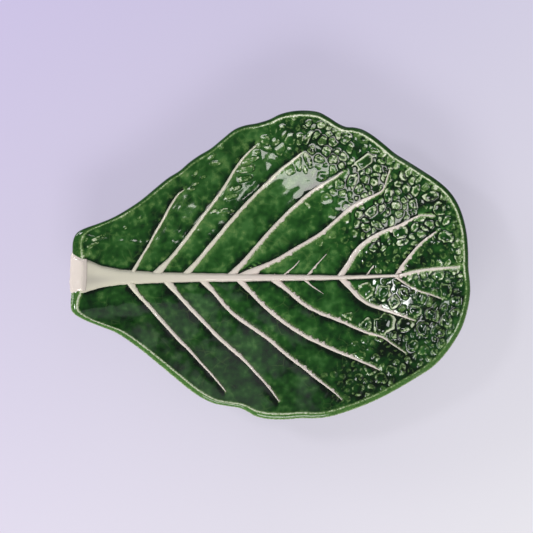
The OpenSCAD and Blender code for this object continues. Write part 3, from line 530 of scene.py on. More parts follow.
def dish_z(points):
    """Height of the plain dish at each plan point. The rim's waves die out down the wall."""
    distance, reach, height, lip = rim_towards(points)
    _, soft_reach, soft_height, soft_lip = rim_towards(points, SMOOTH_RIM)
    wavy = smooth_step(0.62, 1.0, distance / (reach - lip))
    inner = soft_reach - soft_lip + wavy * (reach - lip - soft_reach + soft_lip)
    height = soft_height + wavy * (height - soft_height)
    share = np.clip(distance / inner, 0, 1.02)
    rise = np.clip((share - FLOOR_SHARE) / (1 - FLOOR_SHARE), 0, None) ** WALL_POWER
    return FLOOR_Z + (height - FLOOR_Z) * rise


def dish_normal(points):
    """The plain dish's upward normal at each plan point"""
    step = 1.0 * MM
    slope_x = (dish_z(points + [step, 0]) - dish_z(points - [step, 0])) / (2 * step)
    slope_y = (dish_z(points + [0, step]) - dish_z(points - [0, step])) / (2 * step)
    normal = np.column_stack([-slope_x, -slope_y, np.ones(len(points))])
    return normal / np.linalg.norm(normal, axis=1)[:, None]


def from_photo(pixels):
    """Plan points from the photograph's pixels"""
    return (np.array(pixels, float) - PHOTO_MIDDLE) * (PIXEL, -PIXEL)


def rib_line(rows, width, rooted=True):
    """A rib's centreline as plan points, with its half width. A rooted rib starts inside the
    midrib, on the midrib's own line."""
    if rooted:
        (x0, y0, share), (x1, y1, _) = rows[0], rows[1]
        back = min((MIDRIB_LINE - y0) / (y0 - y1), 1.2)
        rows = [(x0 + back * (x0 - x1), y0 + back * (y0 - y1), 1.15 * share), *rows]
    return curve_through(rows, RIB_STEPS, closed=False) * (HALF_LENGTH, HALF_WIDTH, width / 2)


def rib_lines():
    """Every rib's line, by name"""
    lines = {"midrib": rib_line(MIDRIB_SHARES, MIDRIB_WIDTH, rooted=False)}
    for name, rows in RIB_SHARES.items():
        lines[name] = rib_line(rows, RIB_WIDTH, rooted=name != "tip_rib_middle")
    for i, rows in enumerate(VEINLET_SHARES):
        lines[f"veinlet_{i + 1}"] = rib_line(rows, VEINLET_WIDTH)
    return lines


def beyond_ribs(points, lines):
    """Distance from each plan point to the edge of the nearest rib, negative on a rib, and
    whether the point lies on the rib's side towards the stem"""
    nearest = np.full(len(points), 1.0)
    stemward = np.zeros(len(points), bool)
    for line in lines:
        line = line[::2] if len(line) % 2 else np.vstack([line[::2], line[-1:]])
        for a, b in zip(line, line[1:]):
            run = b[:2] - a[:2]
            offset = points - a[:2]
            along = np.clip(offset @ run / (run @ run), 0, 1)
            away = offset - along[:, None] * run
            gap = np.hypot(away[:, 0], away[:, 1]) - (a[2] + along * (b[2] - a[2]))
            closer = gap < nearest
            nearest[closer] = gap[closer]
            stemward[closer] = away[closer, 0] < -0.3 * np.abs(away[closer, 1])
    return nearest, stemward


def puckering(points):
    """How strongly the leaf is puckered at each plan point, from 0 near the stem to 1"""
    column = points[:, 0] / HALF_LENGTH
    row = points[:, 1] / HALF_WIDTH
    out = share_out(points)
    upper = row > MIDRIB_LINE
    start = np.where(upper, 0.28, 0.42)
    near_tip = smooth_step(start, start + 0.3, column + 0.25 * np.abs(row - MIDRIB_LINE))
    margin_start = np.where(upper, -0.1, 0.2)
    margin = smooth_step(margin_start, margin_start + 0.3, column)
    near_margin = margin * smooth_step(0.62, 0.8, out)
    return np.clip(np.maximum(near_tip, near_margin), 0, 1)


def calm(points):
    """How smooth the leaf is at each plan point among its puckers, from 0 to 1"""
    still = smooth_step(0.12, 0.5, soft_noise(points, CALM_LENGTH, 9.1))
    spots = np.array(CALM_SPOTS, float)
    for middle, (long, wide) in zip(from_photo(spots[:, :2]), spots[:, 2:] * PIXEL):
        away = np.hypot((points[:, 0] - middle[0]) / long, (points[:, 1] - middle[1]) / wide)
        still = np.maximum(still, 1 - smooth_step(0.75, 1.15, away))
    return still


def pucker_seeds(lines):
    """The puckers of the photograph, and seeded ones between them, as rows of x, y, half length,
    half width, turn, height share, and 1 for one from the photograph"""
    photo = np.array(PUCKERS, float)
    placed = np.column_stack(
        [from_photo(photo[:, :2]), photo[:, 2:4] * PIXEL, np.radians(photo[:, 4]), photo[:, 5]]
    )
    seeds = [(*row, 1.0) for row in placed]
    draw = random.Random(PUCKER_SEED).uniform
    trial = np.array([
        (draw(-HALF_LENGTH, HALF_LENGTH), draw(-HALF_WIDTH, HALF_WIDTH))
        for _ in range(PUCKER_TRIES)
    ])
    good = share_out(trial) < PUCKER_REACH
    good &= beyond_ribs(trial, lines)[0] > PUCKER_CLEARANCE
    for i, (point, strong, still) in enumerate(zip(trial.tolist(), puckering(trial), calm(trial))):
        # The later ones are smaller, because they fill the gaps between the earlier ones
        size = (3.2 - 1.1 * strong) * MM * (1.2 - 0.55 * i / PUCKER_TRIES) * draw(0.85, 1.15)
        stretch = draw(1.0, 1.7) ** 0.5
        turn = draw(0, math.pi)
        height = draw(0.5, 1.0) * (1 - 0.85 * still)
        if good[i] and all(
            math.dist(point, seed[:2]) > PUCKER_CROWDING * (size + math.sqrt(seed[2] * seed[3]))
            for seed in seeds
        ):
            seeds.append((*point, size * stretch, size / stretch, turn, height, 0.0))
    return np.array(seeds)


def pucker_fields(points, seeds):
    """At each plan point: how far inside its pucker it lies, from 0 on the pucker's edge to 1 in
    its middle and negative outside, with the pucker's mean radius, its height share, whether it
    is one from the photograph, and how pale it is, from 0 to 1"""
    tree = kdtree.KDTree(len(seeds))
    for i, seed in enumerate(seeds):
        tree.insert((seed[0], seed[1], 0), i)
    tree.balance()
    # Vector noise takes its seed from the clock unless it is given one
    noise.seed_set(PUCKER_SEED)
    warped = points.copy()
    for i, (x, y) in enumerate(points):
        for length, most, seed in WARPS:
            push = noise.noise_vector(Vector((x, y, seed)) / length)
            warped[i] += [most * push.x, most * push.y]
    near = np.array([[found[1] for found in tree.find_n((x, y, 0), NEIGHBOURS)] for x, y in warped])
    warp = (warped - points)[:, None, :] * (1 - KEPT_OUTLINE * seeds[near][:, :, 6:7])
    offset = points[:, None, :] + warp - seeds[near][:, :, :2]
    turn = seeds[near][:, :, 4]
    along = offset[:, :, 0] * np.cos(turn) + offset[:, :, 1] * np.sin(turn)
    across = offset[:, :, 1] * np.cos(turn) - offset[:, :, 0] * np.sin(turn)
    reach = np.abs(along / seeds[near][:, :, 2]) ** SQUARENESS
    reach += np.abs(across / seeds[near][:, :, 3]) ** SQUARENESS
    reach = reach ** (1 / SQUARENESS)
    order = np.argsort(reach, axis=1)
    first = np.take_along_axis(reach, order[:, :1], axis=1)[:, 0]
    second = np.take_along_axis(reach, order[:, 1:2], axis=1)[:, 0]
    owner = np.take_along_axis(near, order[:, :1], axis=1)[:, 0]
    own = seeds[owner]
    radius = np.sqrt(own[:, 2] * own[:, 3])
    inside = np.minimum(1.12 - first, 0.5 * (second - first) - HALF_CHANNEL / radius)
    return inside, radius, own[:, 5], own[:, 6], (SHADE_STEP * owner) % 1


def soft_noise(points, scale, seed):
    """Smooth noise from about -1 to 1 at each plan point"""
    return np.array([noise.noise(Vector((x / scale, y / scale, seed))) for x, y in points])


class Relief:
    """The leaf's moulded relief at plan points: how far it stands off the plain dish, and the
    layers that its glaze is coloured by. The pooled layer is the share of the glaze that has run
    thick, with painted shade added beside the ribs and the midrib, less painted light on a rib's lee
    side, and darker over the near half. Pale is the share that has run thin, with that painted light
    added; border is the distance in from the nearest pucker's edge, and bold is how strongly that
    edge shows, partly as a painted highlight on the tallest puckers."""

    def __init__(self, points, sizes):
        lines = rib_lines()
        veinlets = [line for name, line in lines.items() if name.startswith("veinlet")]
        ribs = [line for name, line in lines.items() if not name.startswith("veinlet")]
        beyond, stemward = beyond_ribs(points, ribs)
        beyond = np.clip(beyond, 0, None)
        off_midrib = np.clip(beyond_ribs(points, [lines["midrib"]])[0], 0, None)
        off_veinlets = np.clip(beyond_ribs(points, veinlets)[0], 0, None)
        within = (1 - share_out(points)) * USUAL_REACH
        inner = smooth_step(0, RIM_FADE, within)
        body = smooth_step(0, 9 * MM, within)
        zone = puckering(points)
        inside, radius, height, read, fill = pucker_fields(points, pucker_seeds(ribs + veinlets))
        strong = np.maximum(zone, 0.75 * read * smooth_step(-0.3, 0.1, inside))
        dome = smooth_step(0.0, 0.42, inside)
        sunk = 0.4 * smooth_step(0.4, 0.95, inside) * smooth_step(2.0 * MM, 4.0 * MM, radius)
        clear = smooth_step(0.0, RIB_FADE, beyond) * smooth_step(0.0, VEINLET_FADE, off_veinlets)
        still = calm(points)
        mottle = soft_noise(points, MOTTLE_LENGTH, 1.7)
        fleck = soft_noise(points, FLECK_LENGTH, 8.3)
        swell = soft_noise(points, SWELL_LENGTH, 5.1)

        lift = sizes.pucker_height * strong * height * (dome - sunk)
        dimples = 0.5 * dome * height + 1.3 * mottle + 0.2 * fleck
        lift += sizes.mottle_height * (1 - strong) * dimples
        swelling = SWELLING_HEIGHT * smooth_step(0, 6 * MM, beyond) + SWELLING_VARIATION * swell
        self.lift = (lift * inner + swelling * body) * clear

        self.border = np.clip(BORDER_EDGE + inside * radius / BORDER_UNIT, 0, 1)
        along, across = points[:, 0] / HALF_LENGTH, points[:, 1] / HALF_WIDTH
        nearer = smooth_step(-0.05, -0.12, across)
        # The near half of the leaf is quieter but for its tallest puckers
        quiet = 1 - 0.45 * nearer * smooth_step(1.3, 1.1, height)
        # Bold lines on the tallest puckers are partly painted highlights, besides glaze broken on
        # their edges
        self.bold = strong * np.clip(0.25 + 0.8 * height, 0, 1.5) * smooth_step(0, 0.8 * MM, beyond)
        self.bold *= quiet * smooth_step(0.3 * MM, 1.6 * MM, within)

        # The line where the glaze runs off the rim's inner edge is faint and green on the far side
        # near the stem, broken up at the tip, and cream elsewhere
        faint = smooth_step(0.0, 0.15, across) * (1 - smooth_step(-0.15, 0.2, along))
        ragged = nearer * smooth_step(0.0, 0.4, along)
        gaps = smooth_step(0.45, 0.7, along) * smooth_step(-0.25, 0.3, fleck)
        crest = bell(within, CREST_WIDTH) * (0.95 - 0.55 * faint - 0.5 * ragged)
        crest *= 1 - 0.7 * gaps
        margin = bell(within, MARGIN_WIDTH) * smooth_step(-0.1, 0.35, zone)
        margin *= 1 - 0.7 * nearer
        plain = (1 - zone) * clear
        # Painted shade: a dark band beside each rib on its side towards the stem, and a thin one
        # beside the midrib
        shade = bell(beyond, np.where(stemward, SHADE_WIDTH - 1.3 * MM * zone, 0.4 * MM))
        shade *= np.where(stemward, 0.55, 0.2) * smooth_step(0.0, 1.5 * MM, off_veinlets)
        shade = np.maximum(shade, 0.4 * bell(off_midrib, MIDRIB_SHADE_WIDTH))
        tipward = smooth_step(-0.35, 0.35, along)
        free = smooth_step(0.5 * MM, 4.0 * MM, off_midrib)
        # Painted light: the green is lighter on each rib's lee side, away from the stem
        lee = bell(beyond, LEE_LIGHT_WIDTH) * ~stemward * free * (1 - 0.6 * nearer)
        fringe = bell(beyond, FRINGE_WIDTH) * ~stemward * (0.3 + 0.4 * tipward) * free
        soft = np.clip(0.65 * mottle + 0.85 * fleck, 0, 1)
        small = smooth_step(3.6 * MM, 2.2 * MM, radius)
        self.pale = np.clip(
            np.maximum(fringe, crest)
            + 0.5 * margin * np.clip(0.2 + 1.5 * fleck, 0, 1)
            + 0.16 * lee * (1 - 0.6 * zone) + (0.34 - 0.18 * nearer) * plain * soft
            + (0.05 + 0.52 * fill) * strong * dome * np.minimum(height, 1) * clear * small * quiet,
            0, 1,
        )
        # The pooled layer: glaze run thick, with the painted shade beside the ribs added, the painted
        # light on their lee sides taken off, and darker over the near half
        self.pooled_and_shaded = np.clip(
            0.28 + 0.17 * nearer + zone * (0.26 + 0.2 * still) + shade - 0.2 * swell - 0.33 * mottle
            - 0.27 * fleck - 0.2 * lee + 0.12 * (1 - nearer) * smooth_step(-0.45, -0.65, along),
            0, 1,
        ) * (1 - crest)


def edge_point(points, turn):
    """The rounded rim over or under each plan point. Turn is 0 at its inner edge, 90 degrees at
    the outermost line and 180 underneath."""
    _, reach, height, lip = rim_towards(points)
    out = (points - CENTRE) / np.linalg.norm(points - CENTRE, axis=1)[:, None]
    radians = math.radians(turn)
    across = lip if turn <= 90 else EDGE_RETURN
    down = LIP_DROP if turn <= 90 else EDGE_HEIGHT - LIP_DROP
    plan = CENTRE + out * (reach - across * (1 - math.sin(radians)))[:, None]
    return np.column_stack([plan, height - LIP_DROP + down * math.cos(radians)])


def under_point(points, share):
    """The underside of the dish below each plan point's direction, so far out"""
    edge = edge_point(points, 180)
    plan = CENTRE + (edge[:, :2] - CENTRE) * share
    rise = max(0, (share - UNDER_FLOOR_SHARE) / (1 - UNDER_FLOOR_SHARE)) ** UNDER_POWER
    return np.column_stack([plan, FOOT_HEIGHT + (edge[:, 2] - FOOT_HEIGHT) * rise])


def side_between(first, last, places):
    """Points on the rim's inner edge between two rows of the outline, at places from 0 to 1"""
    count = len(outline)
    start = first * OUTLINE_STEPS
    stop = last * OUTLINE_STEPS
    if abs(stop - start) > count / 2:
        stop += count if stop < start else -count
    direction = 1 if stop > start else -1
    rows = outline[np.arange(start, stop + direction, direction) % count]
    reach = np.hypot(rows[:, 0], rows[:, 1])
    edge = CENTRE + rows[:, :2] * (1 - rows[:, 3] / reach)[:, None]
    run = np.concatenate([[0], np.cumsum(np.hypot(*np.diff(edge, axis=0).T))])
    run /= run[-1]
    return np.column_stack([np.interp(places, run, column) for column in edge.T])


def stretched_sheet(u, v):
    """Plan points of a square sheet whose four sides follow the rim's inner edge. The columns
    stand closer together towards the tip, where the relief is finest."""
    u = u + 0.17 * np.sin(math.pi * u) * (1 - 0.15 * u)
    lower = side_between(STEM_LOWER, TIP_LOWER, u)
    upper = side_between(STEM_UPPER, TIP_UPPER, u)
    stem = side_between(STEM_LOWER, STEM_UPPER, v)
    tip = side_between(TIP_LOWER, TIP_UPPER, v)
    ends = np.array([0.0, 1.0])
    low = side_between(STEM_LOWER, TIP_LOWER, ends)
    high = side_between(STEM_UPPER, TIP_UPPER, ends)
    u = u[:, None]
    v = v[:, None]
    corners = (1 - v) * ((1 - u) * low[0] + u * low[1]) + v * ((1 - u) * high[0] + u * high[1])
    return (1 - v) * lower + v * upper + (1 - u) * stem + u * tip - corners


def ribbed_bmesh():
    """An empty bmesh whose verts keep the layers of the cream glaze, and their own number"""
    bm = bmesh.new()
    for name in CREAM_LAYERS:
        bm.verts.layers.float.new(name)
    bm.verts.layers.int.new("number")
    return bm


def close_sheet(bm, verts, places, seats, lap, tinge, shade_share):
    """Turns a flat grid of verts into a closed shell: the grid goes to its places, and a copy of
    it to the seats below. How far the green laps over the cream, how green it is and how much painted
    shade greys it are kept at each vert."""
    layers = [bm.verts.layers.float[name] for name in CREAM_LAYERS]
    number = bm.verts.layers.int["number"]
    for i, vert in enumerate(verts):
        vert[number] = i
    own = set(verts)
    faces = [face for face in bm.faces if face.verts[0] in own]
    copied = bmesh.ops.extrude_face_region(bm, geom=faces)["geom"]
    for vert, place, *shares in zip(verts, places, lap, tinge, shade_share):
        vert.co = place
        for layer, share in zip(layers, shares):
            vert[layer] = min(share, 1)
    for vert in copied:
        if isinstance(vert, bmesh.types.BMVert):
            vert.co = seats[vert[number]]
            vert[layers[0]] = 1
            vert[layers[1]] = tinge[vert[number]]


def finish_mesh(bm, name, nodes, material):
    """Makes a piece from a bmesh: it rides on the one body, and its CAD nodes are hidden"""
    bmesh.ops.recalc_face_normals(bm, faces=bm.faces)
    mesh = bpy.data.meshes.new(name)
    bm.to_mesh(mesh)
    bm.free()
    mesh.shade_smooth()
    piece = bpy.data.objects.new(name, mesh)
    bpy.context.scene.collection.objects.link(piece)
    mesh.materials.append(material)
    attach(piece, "root")
    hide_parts(*nodes)


def add_node(tree, kind, inputs=(), stops=(), **settings):
    """Adds a shader node with its settings, and returns its outputs. Each input is a value or
    another node's output. Stops are a ramp's positions, each with a hex colour or a grey share."""
    node = tree.nodes.new(f"ShaderNode{kind}")
    for key, value in settings.items():
        setattr(node, key, value)
    for key, value in inputs.items() if isinstance(inputs, dict) else enumerate(inputs):
        if isinstance(value, bpy.types.NodeSocket):
            tree.links.new(value, node.inputs[key])
        else:
            node.inputs[key].default_value = value
    for i, (position, tone) in enumerate(stops):
        elements = node.color_ramp.elements
        element = elements[i] if i < len(elements) else elements.new(1.0)
        element.position = position
        element.color = linear(tone) if isinstance(tone, str) else (tone, tone, tone, 1)
    return node.outputs


def new_material(name):
    """A material of that name, its empty node tree, and a node's object coordinates in it"""
    material = bpy.data.materials.new(name)
    material.use_nodes = True
    tree = material.node_tree
    tree.nodes.clear()
    return material, tree, add_node(tree, "TexCoord")["Object"]


def green_glaze(glazes):
    """Lead green majolica glaze over moulded relief: near black where it pools in the channels and
    where shade is painted beside the ribs, leaf green on the flats, and pale where it runs off an
    edge, with painted light on the ribs' lee sides and the lip's near side and painted highlights on
    the tallest puckers' edges"""
    material, tree, place = new_material("green_majolica_glaze")
    pooled_and_shaded, pale, border, bold = (
        add_node(tree, "Attribute", attribute_name=name)["Fac"] for name in GREEN_LAYERS
    )
    noises = []
    for size, detail, low, high in (
        (7 * MM, 4.0, -0.12, 0.12),  # clouds in the glaze
        (1.1 * MM, 3.0, 0.0, 1.0),  # its fine curdling
        (2.6 * MM, 2.0, -0.3, 1.45),  # the stretches of a pucker's edge that have run pale
        (0.9 * MM, 2.0, 0.6, 1.15),  # and how even they are
        (11 * MM, 1.0, -0.2, 0.2),  # the stretches where the net of veins shows
    ):
        blots = add_node(tree, "TexNoise", {
            "Vector": place, "Scale": 1 / size, "Detail": detail, "Roughness": 0.55,
        })["Fac"]
        noises.append(add_node(tree, "MapRange", (blots, 0.34, 0.66, low, high))[0])
    cloud, curd, arcs, evenness, showing = noises

    # A pale line just inside each pucker's edge, about 1 mm wide and unbroken on the tallest, and
    # the dark channel round it. The line is glaze broken on the edge, and on the tallest puckers also
    # a painted highlight.
    tallest = add_node(tree, "MapRange", (bold, 1.15, 1.32))[0]
    arcs = add_node(tree, "Math", (arcs, tallest), operation="MAXIMUM")[0]
    line = add_node(tree, "ValToRGB", (border,), [
        (0.45, 0), (0.53, 1), (0.68, 0.95), (0.86, 0.25), (1.0, 0.06),
    ])[0]
    for factor in (bold, arcs, evenness):
        line = add_node(tree, "Math", (line, factor), operation="MULTIPLY")[0]
    channel = add_node(tree, "ValToRGB", (border,), [
        (0.08, 0), (0.24, 0.9), (0.45, 1), (0.52, 0),
    ])[0]
    channel = add_node(tree, "Math", (channel, bold), operation="MULTIPLY")[0]

    # The glaze from thin to thick, its thick end darkened also by painted shade, and where it has run
    # so thin that the clay shows through, which also carries painted light and highlights
    thick = add_node(tree, "Math", (pooled_and_shaded, cloud), operation="ADD")[0]
    thick = add_node(tree, "Math", (thick, channel), operation="MAXIMUM", use_clamp=True)[0]
    body = add_node(tree, "ValToRGB", (thick,), [
        (0.05, glazes.light), (0.36, glazes.middling), (0.66, glazes.deep), (0.95, glazes.pooled_and_shaded),
    ])[0]
    curdled = add_node(tree, "Math", (curd, 0.5), operation="ADD")[0]
    curdled = add_node(tree, "Math", (pale, curdled), operation="MULTIPLY")[0]
    edge = add_node(tree, "Math", (line, curdled), operation="MAXIMUM", use_clamp=True)[0]
    thin = add_node(tree, "ValToRGB", (edge,), [(0.34, glazes.thin), (0.86, glazes.broken)])[0]
    blend = add_node(tree, "MapRange", (edge, 0.06, 0.5))[0]
    colour = add_node(tree, "Mix", {0: blend, 6: body, 7: thin}, data_type="RGBA")[2]

    # The leaf's finest net of veins, faint under the glaze, with meshes about 8 mm across
    bent = add_node(
        tree, "TexNoise", {"Vector": place, "Scale": 1 / (5 * MM), "Detail": 2.0}
    )["Color"]
    bent = add_node(
        tree, "VectorMath", (bent, (3 * MM, 3 * MM, 0), place), operation="MULTIPLY_ADD"
    )[0]
    net = add_node(
        tree, "TexVoronoi", {"Vector": bent, "Scale": 1 / (8 * MM)}, feature="DISTANCE_TO_EDGE"
    )["Distance"]
    vein = add_node(tree, "MapRange", (net, 0.0, 0.05, 1.0, 0.0))[0]
    vein = add_node(tree, "Math", (vein, showing), operation="MULTIPLY", use_clamp=True)[0]
    between = add_node(tree, "Math", (1.0, bold), operation="SUBTRACT", use_clamp=True)[0]
    vein = add_node(tree, "Math", (vein, between), operation="MULTIPLY")[0]
    colour = add_node(
        tree, "Mix", {0: vein, 6: colour, 7: linear(glazes.thin)}, data_type="RGBA"
    )[2]

    bump = add_node(tree, "Bump", {"Strength": 0.1, "Distance": 0.3 * MM, "Height": cloud})[0]
    surface = add_node(tree, "BsdfPrincipled", {
        "Roughness": 0.07, "IOR": 1.5, "Base Color": colour, "Normal": bump,
    })[0]
    add_node(tree, "OutputMaterial", {"Surface": surface})
    return material


def cream_glaze(glazes):
    """Cream majolica glaze: milky and glossy, painted grey along the stem's hollow as painted shade,
    with the green lapping over it at a rib's edges and end"""
    material, tree, place = new_material("cream_majolica_glaze")
    lapped, tinged, shaded_grey = (
        add_node(tree, "Attribute", attribute_name=name)["Fac"] for name in CREAM_LAYERS
    )
    # The cream takes a green tinge towards the stem and the far side of the leaf, in clouds about
    # 9 mm across, and is painted grey along the stem's hollow, painted shade
    blots = add_node(tree, "TexNoise", {
        "Vector": place, "Scale": 1 / (9 * MM), "Detail": 3.0, "Roughness": 0.55,
    })["Fac"]
    cloud = add_node(tree, "MapRange", (blots, 0.34, 0.66, -0.12, 0.12))[0]
    tinge = add_node(tree, "Math", (tinged, cloud), operation="ADD", use_clamp=True)[0]
    milk = add_node(tree, "ValToRGB", (tinge,), [(0.0, glazes.cream), (1.0, glazes.tinged)])[0]
    milk = add_node(
        tree, "Mix", {0: shaded_grey, 6: milk, 7: linear(glazes.shaded_grey)}, data_type="RGBA"
    )[2]
    # The lap's ragged edge, about 1.2 mm from tooth to tooth
    ragged = add_node(
        tree, "TexNoise", {"Vector": place, "Scale": 1 / (1.2 * MM), "Detail": 2.0}
    )["Fac"]
    reach = add_node(tree, "Math", (ragged, 0.7, -0.35), operation="MULTIPLY_ADD")[0]
    reach = add_node(tree, "Math", (reach, lapped), operation="ADD")[0]
    green = add_node(tree, "MapRange", (reach, 0.62, 1.05))[0]
    colour = add_node(
        tree, "Mix", {0: green, 6: milk, 7: linear(glazes.thin)}, data_type="RGBA"
    )[2]
    surface = add_node(tree, "BsdfPrincipled", {
        "Roughness": 0.12, "IOR": 1.52, "Base Color": colour,
    })[0]
    add_node(tree, "OutputMaterial", {"Surface": surface})
    return material


def bare_clay(glazes):
    """Fired buff clay, wiped clean of glaze: matt, with a fine grain"""
    material, tree, place = new_material("bare_fired_clay")
    # Grain of the clay, drawn about 0.8 mm across so that it shows
    grain = add_node(
        tree, "TexNoise", {"Vector": place, "Scale": 1 / (0.8 * MM), "Detail": 4.0}
    )["Fac"]
    tone = add_node(tree, "ValToRGB", (grain,), [(0.3, "#C4A985"), (0.7, glazes.clay)])[0]
    bump = add_node(tree, "Bump", {"Strength": 0.3, "Distance": 0.1 * MM, "Height": grain})[0]
    surface = add_node(tree, "BsdfPrincipled", {
        "Roughness": 0.85, "Base Color": tone, "Normal": bump,
    })[0]
    add_node(tree, "OutputMaterial", {"Surface": surface})
    return material


def shared_material(name, make):
    """The material of that name, made the first time that it is asked for"""
    found = bpy.data.materials.get(name)
    return found or make(bpy.context.scene.leaf_plate_glazes)


class LEAFPLATE_OT_blade(bpy.types.Operator):
    """Models the puckered leaf with its rolled rim and plain underside, and glazes it green"""

    bl_idname = "leafplate.blade"
    bl_label = "Leaf blade"

    def execute(self, context):
        bm = bmesh.new()
        layers = [bm.verts.layers.float.new(name) for name in GREEN_LAYERS]
        bmesh.ops.create_grid(bm, x_segments=SHEET_COLUMNS, y_segments=SHEET_ROWS, size=0.5)
        sheet = list(bm.verts)
        square = np.array([vert.co[:2] for vert in sheet]) + 0.5
        plan = stretched_sheet(square[:, 0], square[:, 1])
        relief = Relief(plan, context.scene.leaf_plate_sizes)
        places = np.column_stack([plan, dish_z(plan)]) + dish_normal(plan) * relief.lift[:, None]
        values = np.column_stack([relief.pooled_and_shaded, relief.pale, relief.border, relief.bold])
        self.place(layers, sheet, places, values)

        edges = [edge for edge in bm.edges if edge.is_boundary]
        for turn, far_pale, near_pale in LIP_TURNS:
            edges, verts = self.ring(bm, edges)
            places = edge_point(np.array([vert.co[:2] for vert in verts]), turn)
            # The lip is painted darker on the far side, painted shade, and paler on the near side,
            # partly thinner glaze and partly painted light
            nearer = smooth_step(0.25, -0.35, places[:, 1] / HALF_WIDTH)
            values = np.zeros((len(verts), len(layers)))
            values[:, 0] = FAR_LIP_POOLED_AND_SHADED + (NEAR_LIP_POOLED_AND_LIT - FAR_LIP_POOLED_AND_SHADED) * nearer
            values[:, 1] = far_pale + (near_pale - far_pale) * nearer
            self.place(layers, verts, places, values)
        for share in UNDER_SHARES:
            edges, verts = self.ring(bm, edges)
            places = under_point(np.array([vert.co[:2] for vert in verts]), share)
            self.place(layers, verts, places, [(UNDER_POOLED, 0.0, 0.0, 0.0)] * len(verts))
        edges, verts = self.ring(bm, edges)
        bmesh.ops.pointmerge(bm, verts=verts, merge_co=(CENTRE[0], CENTRE[1], FOOT_HEIGHT))
        glaze = shared_material("green_majolica_glaze", green_glaze)
        finish_mesh(bm, "puckered_leaf_blade", ["leaf_blade", "puckers"], glaze)
        return {"FINISHED"}

    @staticmethod
    def place(layers, verts, places, values):
        """Puts verts in their places, and sets the layers of the glaze at each"""
        for vert, place, row in zip(verts, places, values):
            vert.co = place
            for layer, value in zip(layers, row):
                vert[layer] = value

    @staticmethod
    def ring(bm, edges):
        """Extrudes the open edge, and returns the new edges and verts"""
        made = bmesh.ops.extrude_edge_only(bm, edges=edges)["geom"]
        edges = [item for item in made if isinstance(item, bmesh.types.BMEdge)]
        return edges, [item for item in made if isinstance(item, bmesh.types.BMVert)]


class LEAFPLATE_OT_foot(bpy.types.Operator):
    """Gives the oval foot ring its bare clay"""

    bl_idname = "leafplate.foot"
    bl_label = "Foot ring"

    def execute(self, context):
        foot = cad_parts["foot_ring"]
        foot.data.materials.clear()
        foot.data.materials.append(shared_material("bare_fired_clay", bare_clay))
        return {"FINISHED"}


class LEAFPLATE_OT_ribs(bpy.types.Operator):
    """Models the midrib, the side ribs, the ribs of the fork and the fine veinlets"""

    bl_idname = "leafplate.ribs"
    bl_label = "Ribs"

    def execute(self, context):
        sizes = context.scene.leaf_plate_sizes
        lines = rib_lines()

        def rib_crown(half):
            return sizes.rib_height * np.minimum(1, 0.35 + 0.65 * 2 * half / RIB_WIDTH)

        def midrib_crown(half):
            flat = np.minimum(1, MIDRIB_WIDTH / (2 * half))
            return sizes.stem_height + (sizes.midrib_height - sizes.stem_height) * flat

        for name, line in lines.items():
            if not name.startswith("veinlet"):
                crown = midrib_crown if name == "midrib" else rib_crown
                self.rib(name, [line], crown)
        veinlets = [line for name, line in lines.items() if name.startswith("veinlet")]
        self.rib("veinlets", veinlets, rib_crown)
        return {"FINISHED"}

    def rib(self, name, lines, crown_of):
        """One piece with a ridge along each of its lines, as high as crown_of says for its width"""
        bm = ribbed_bmesh()
        for number, line in enumerate(lines):
            lee = 0 if name == "midrib" else 1 if line[-1, 1] < line[0, 1] else -1
            self.ridge(bm, line, crown_of, number + len(name), lee)
        glaze = shared_material("cream_majolica_glaze", cream_glaze)
        finish_mesh(bm, f"glazed_{name}", [name], glaze)

    @staticmethod
    def ridge(bm, line, crown_of, seed, lee):
        """One closed ridge along the line: a flat grid becomes its crown, and a copy of the grid
        below becomes its seat. The side towards the stem is crisp. The lee side, 1 for the left and
        -1 for the right, is toothed, and the green laps over it and over the far end."""
        steps = len(line) - 1
        made = bmesh.ops.create_grid(bm, x_segments=steps, y_segments=RIB_BANDS, size=0.5)["verts"]
        column = np.array([round((vert.co.x + 0.5) * steps) for vert in made])
        side = np.array([2 * vert.co.y for vert in made])
        run = np.gradient(line[:, :2], axis=0)
        left = np.column_stack([-run[:, 1], run[:, 0]]) / np.linalg.norm(run, axis=1)[:, None]
        places = np.column_stack([line[column, :2], (seed + (side > 0)) * MM])
        teeth = np.array([noise.noise(Vector(place / TOOTH_LENGTH)) for place in places])
        wavy = np.array([noise.noise(Vector(place / EDGE_WAVE_LENGTH)) for place in places])
        half = line[column, 2]
        end = smooth_step(0.7, 1.0, column / steps)
        tipward = smooth_step(-0.4, 0.4, places[:, 0] / HALF_LENGTH)
        toothed = (side * lee > 0) * (0.25 + 0.75 * tipward)
        wide = half * ((0.93 if lee else 0.98) - 0.2 * end)
        wide += np.minimum(EDGE_WAVE_REACH, 0.2 * half) * wavy + 0.1 * MM * teeth
        wide += toothed * np.minimum(TOOTH_REACH, 1.6 * half) * np.clip(2.2 * teeth - 0.1, 0, 1)
        plan = line[column, :2] + left[column] * (side * wide)[:, None]
        hollow = 0.55 * smooth_step(4.5 * MM, 9 * MM, half) * (1 - side**2)
        height = crown_of(half) * (1 - np.abs(side) ** 4) * (1 - hollow) + 0.1 * MM
        foot = np.column_stack([plan, dish_z(plan)])
        normal = dish_normal(plan)
        lap = (0.3 + 0.1 * toothed) * np.abs(side) ** 6 + 0.3 * end
        lap += 0.3 * (1 - smooth_step(0.35 * MM, 0.85 * MM, half)) * (lee != 0)
        tinge = smooth_step(0, TINGE_RUN, 1.2 * plan[:, 1] - plan[:, 0])
        # Painted shade: a grey stripe along the wide stem's hollow, a little below its middle
        thick = 0.6 * smooth_step(4.5 * MM, 8 * MM, half) * bell(side + 0.25, 0.35)
        places = foot + normal * height[:, None]
        close_sheet(bm, made, places, foot - normal * SEAT_DEPTH, lap, tinge, thick)


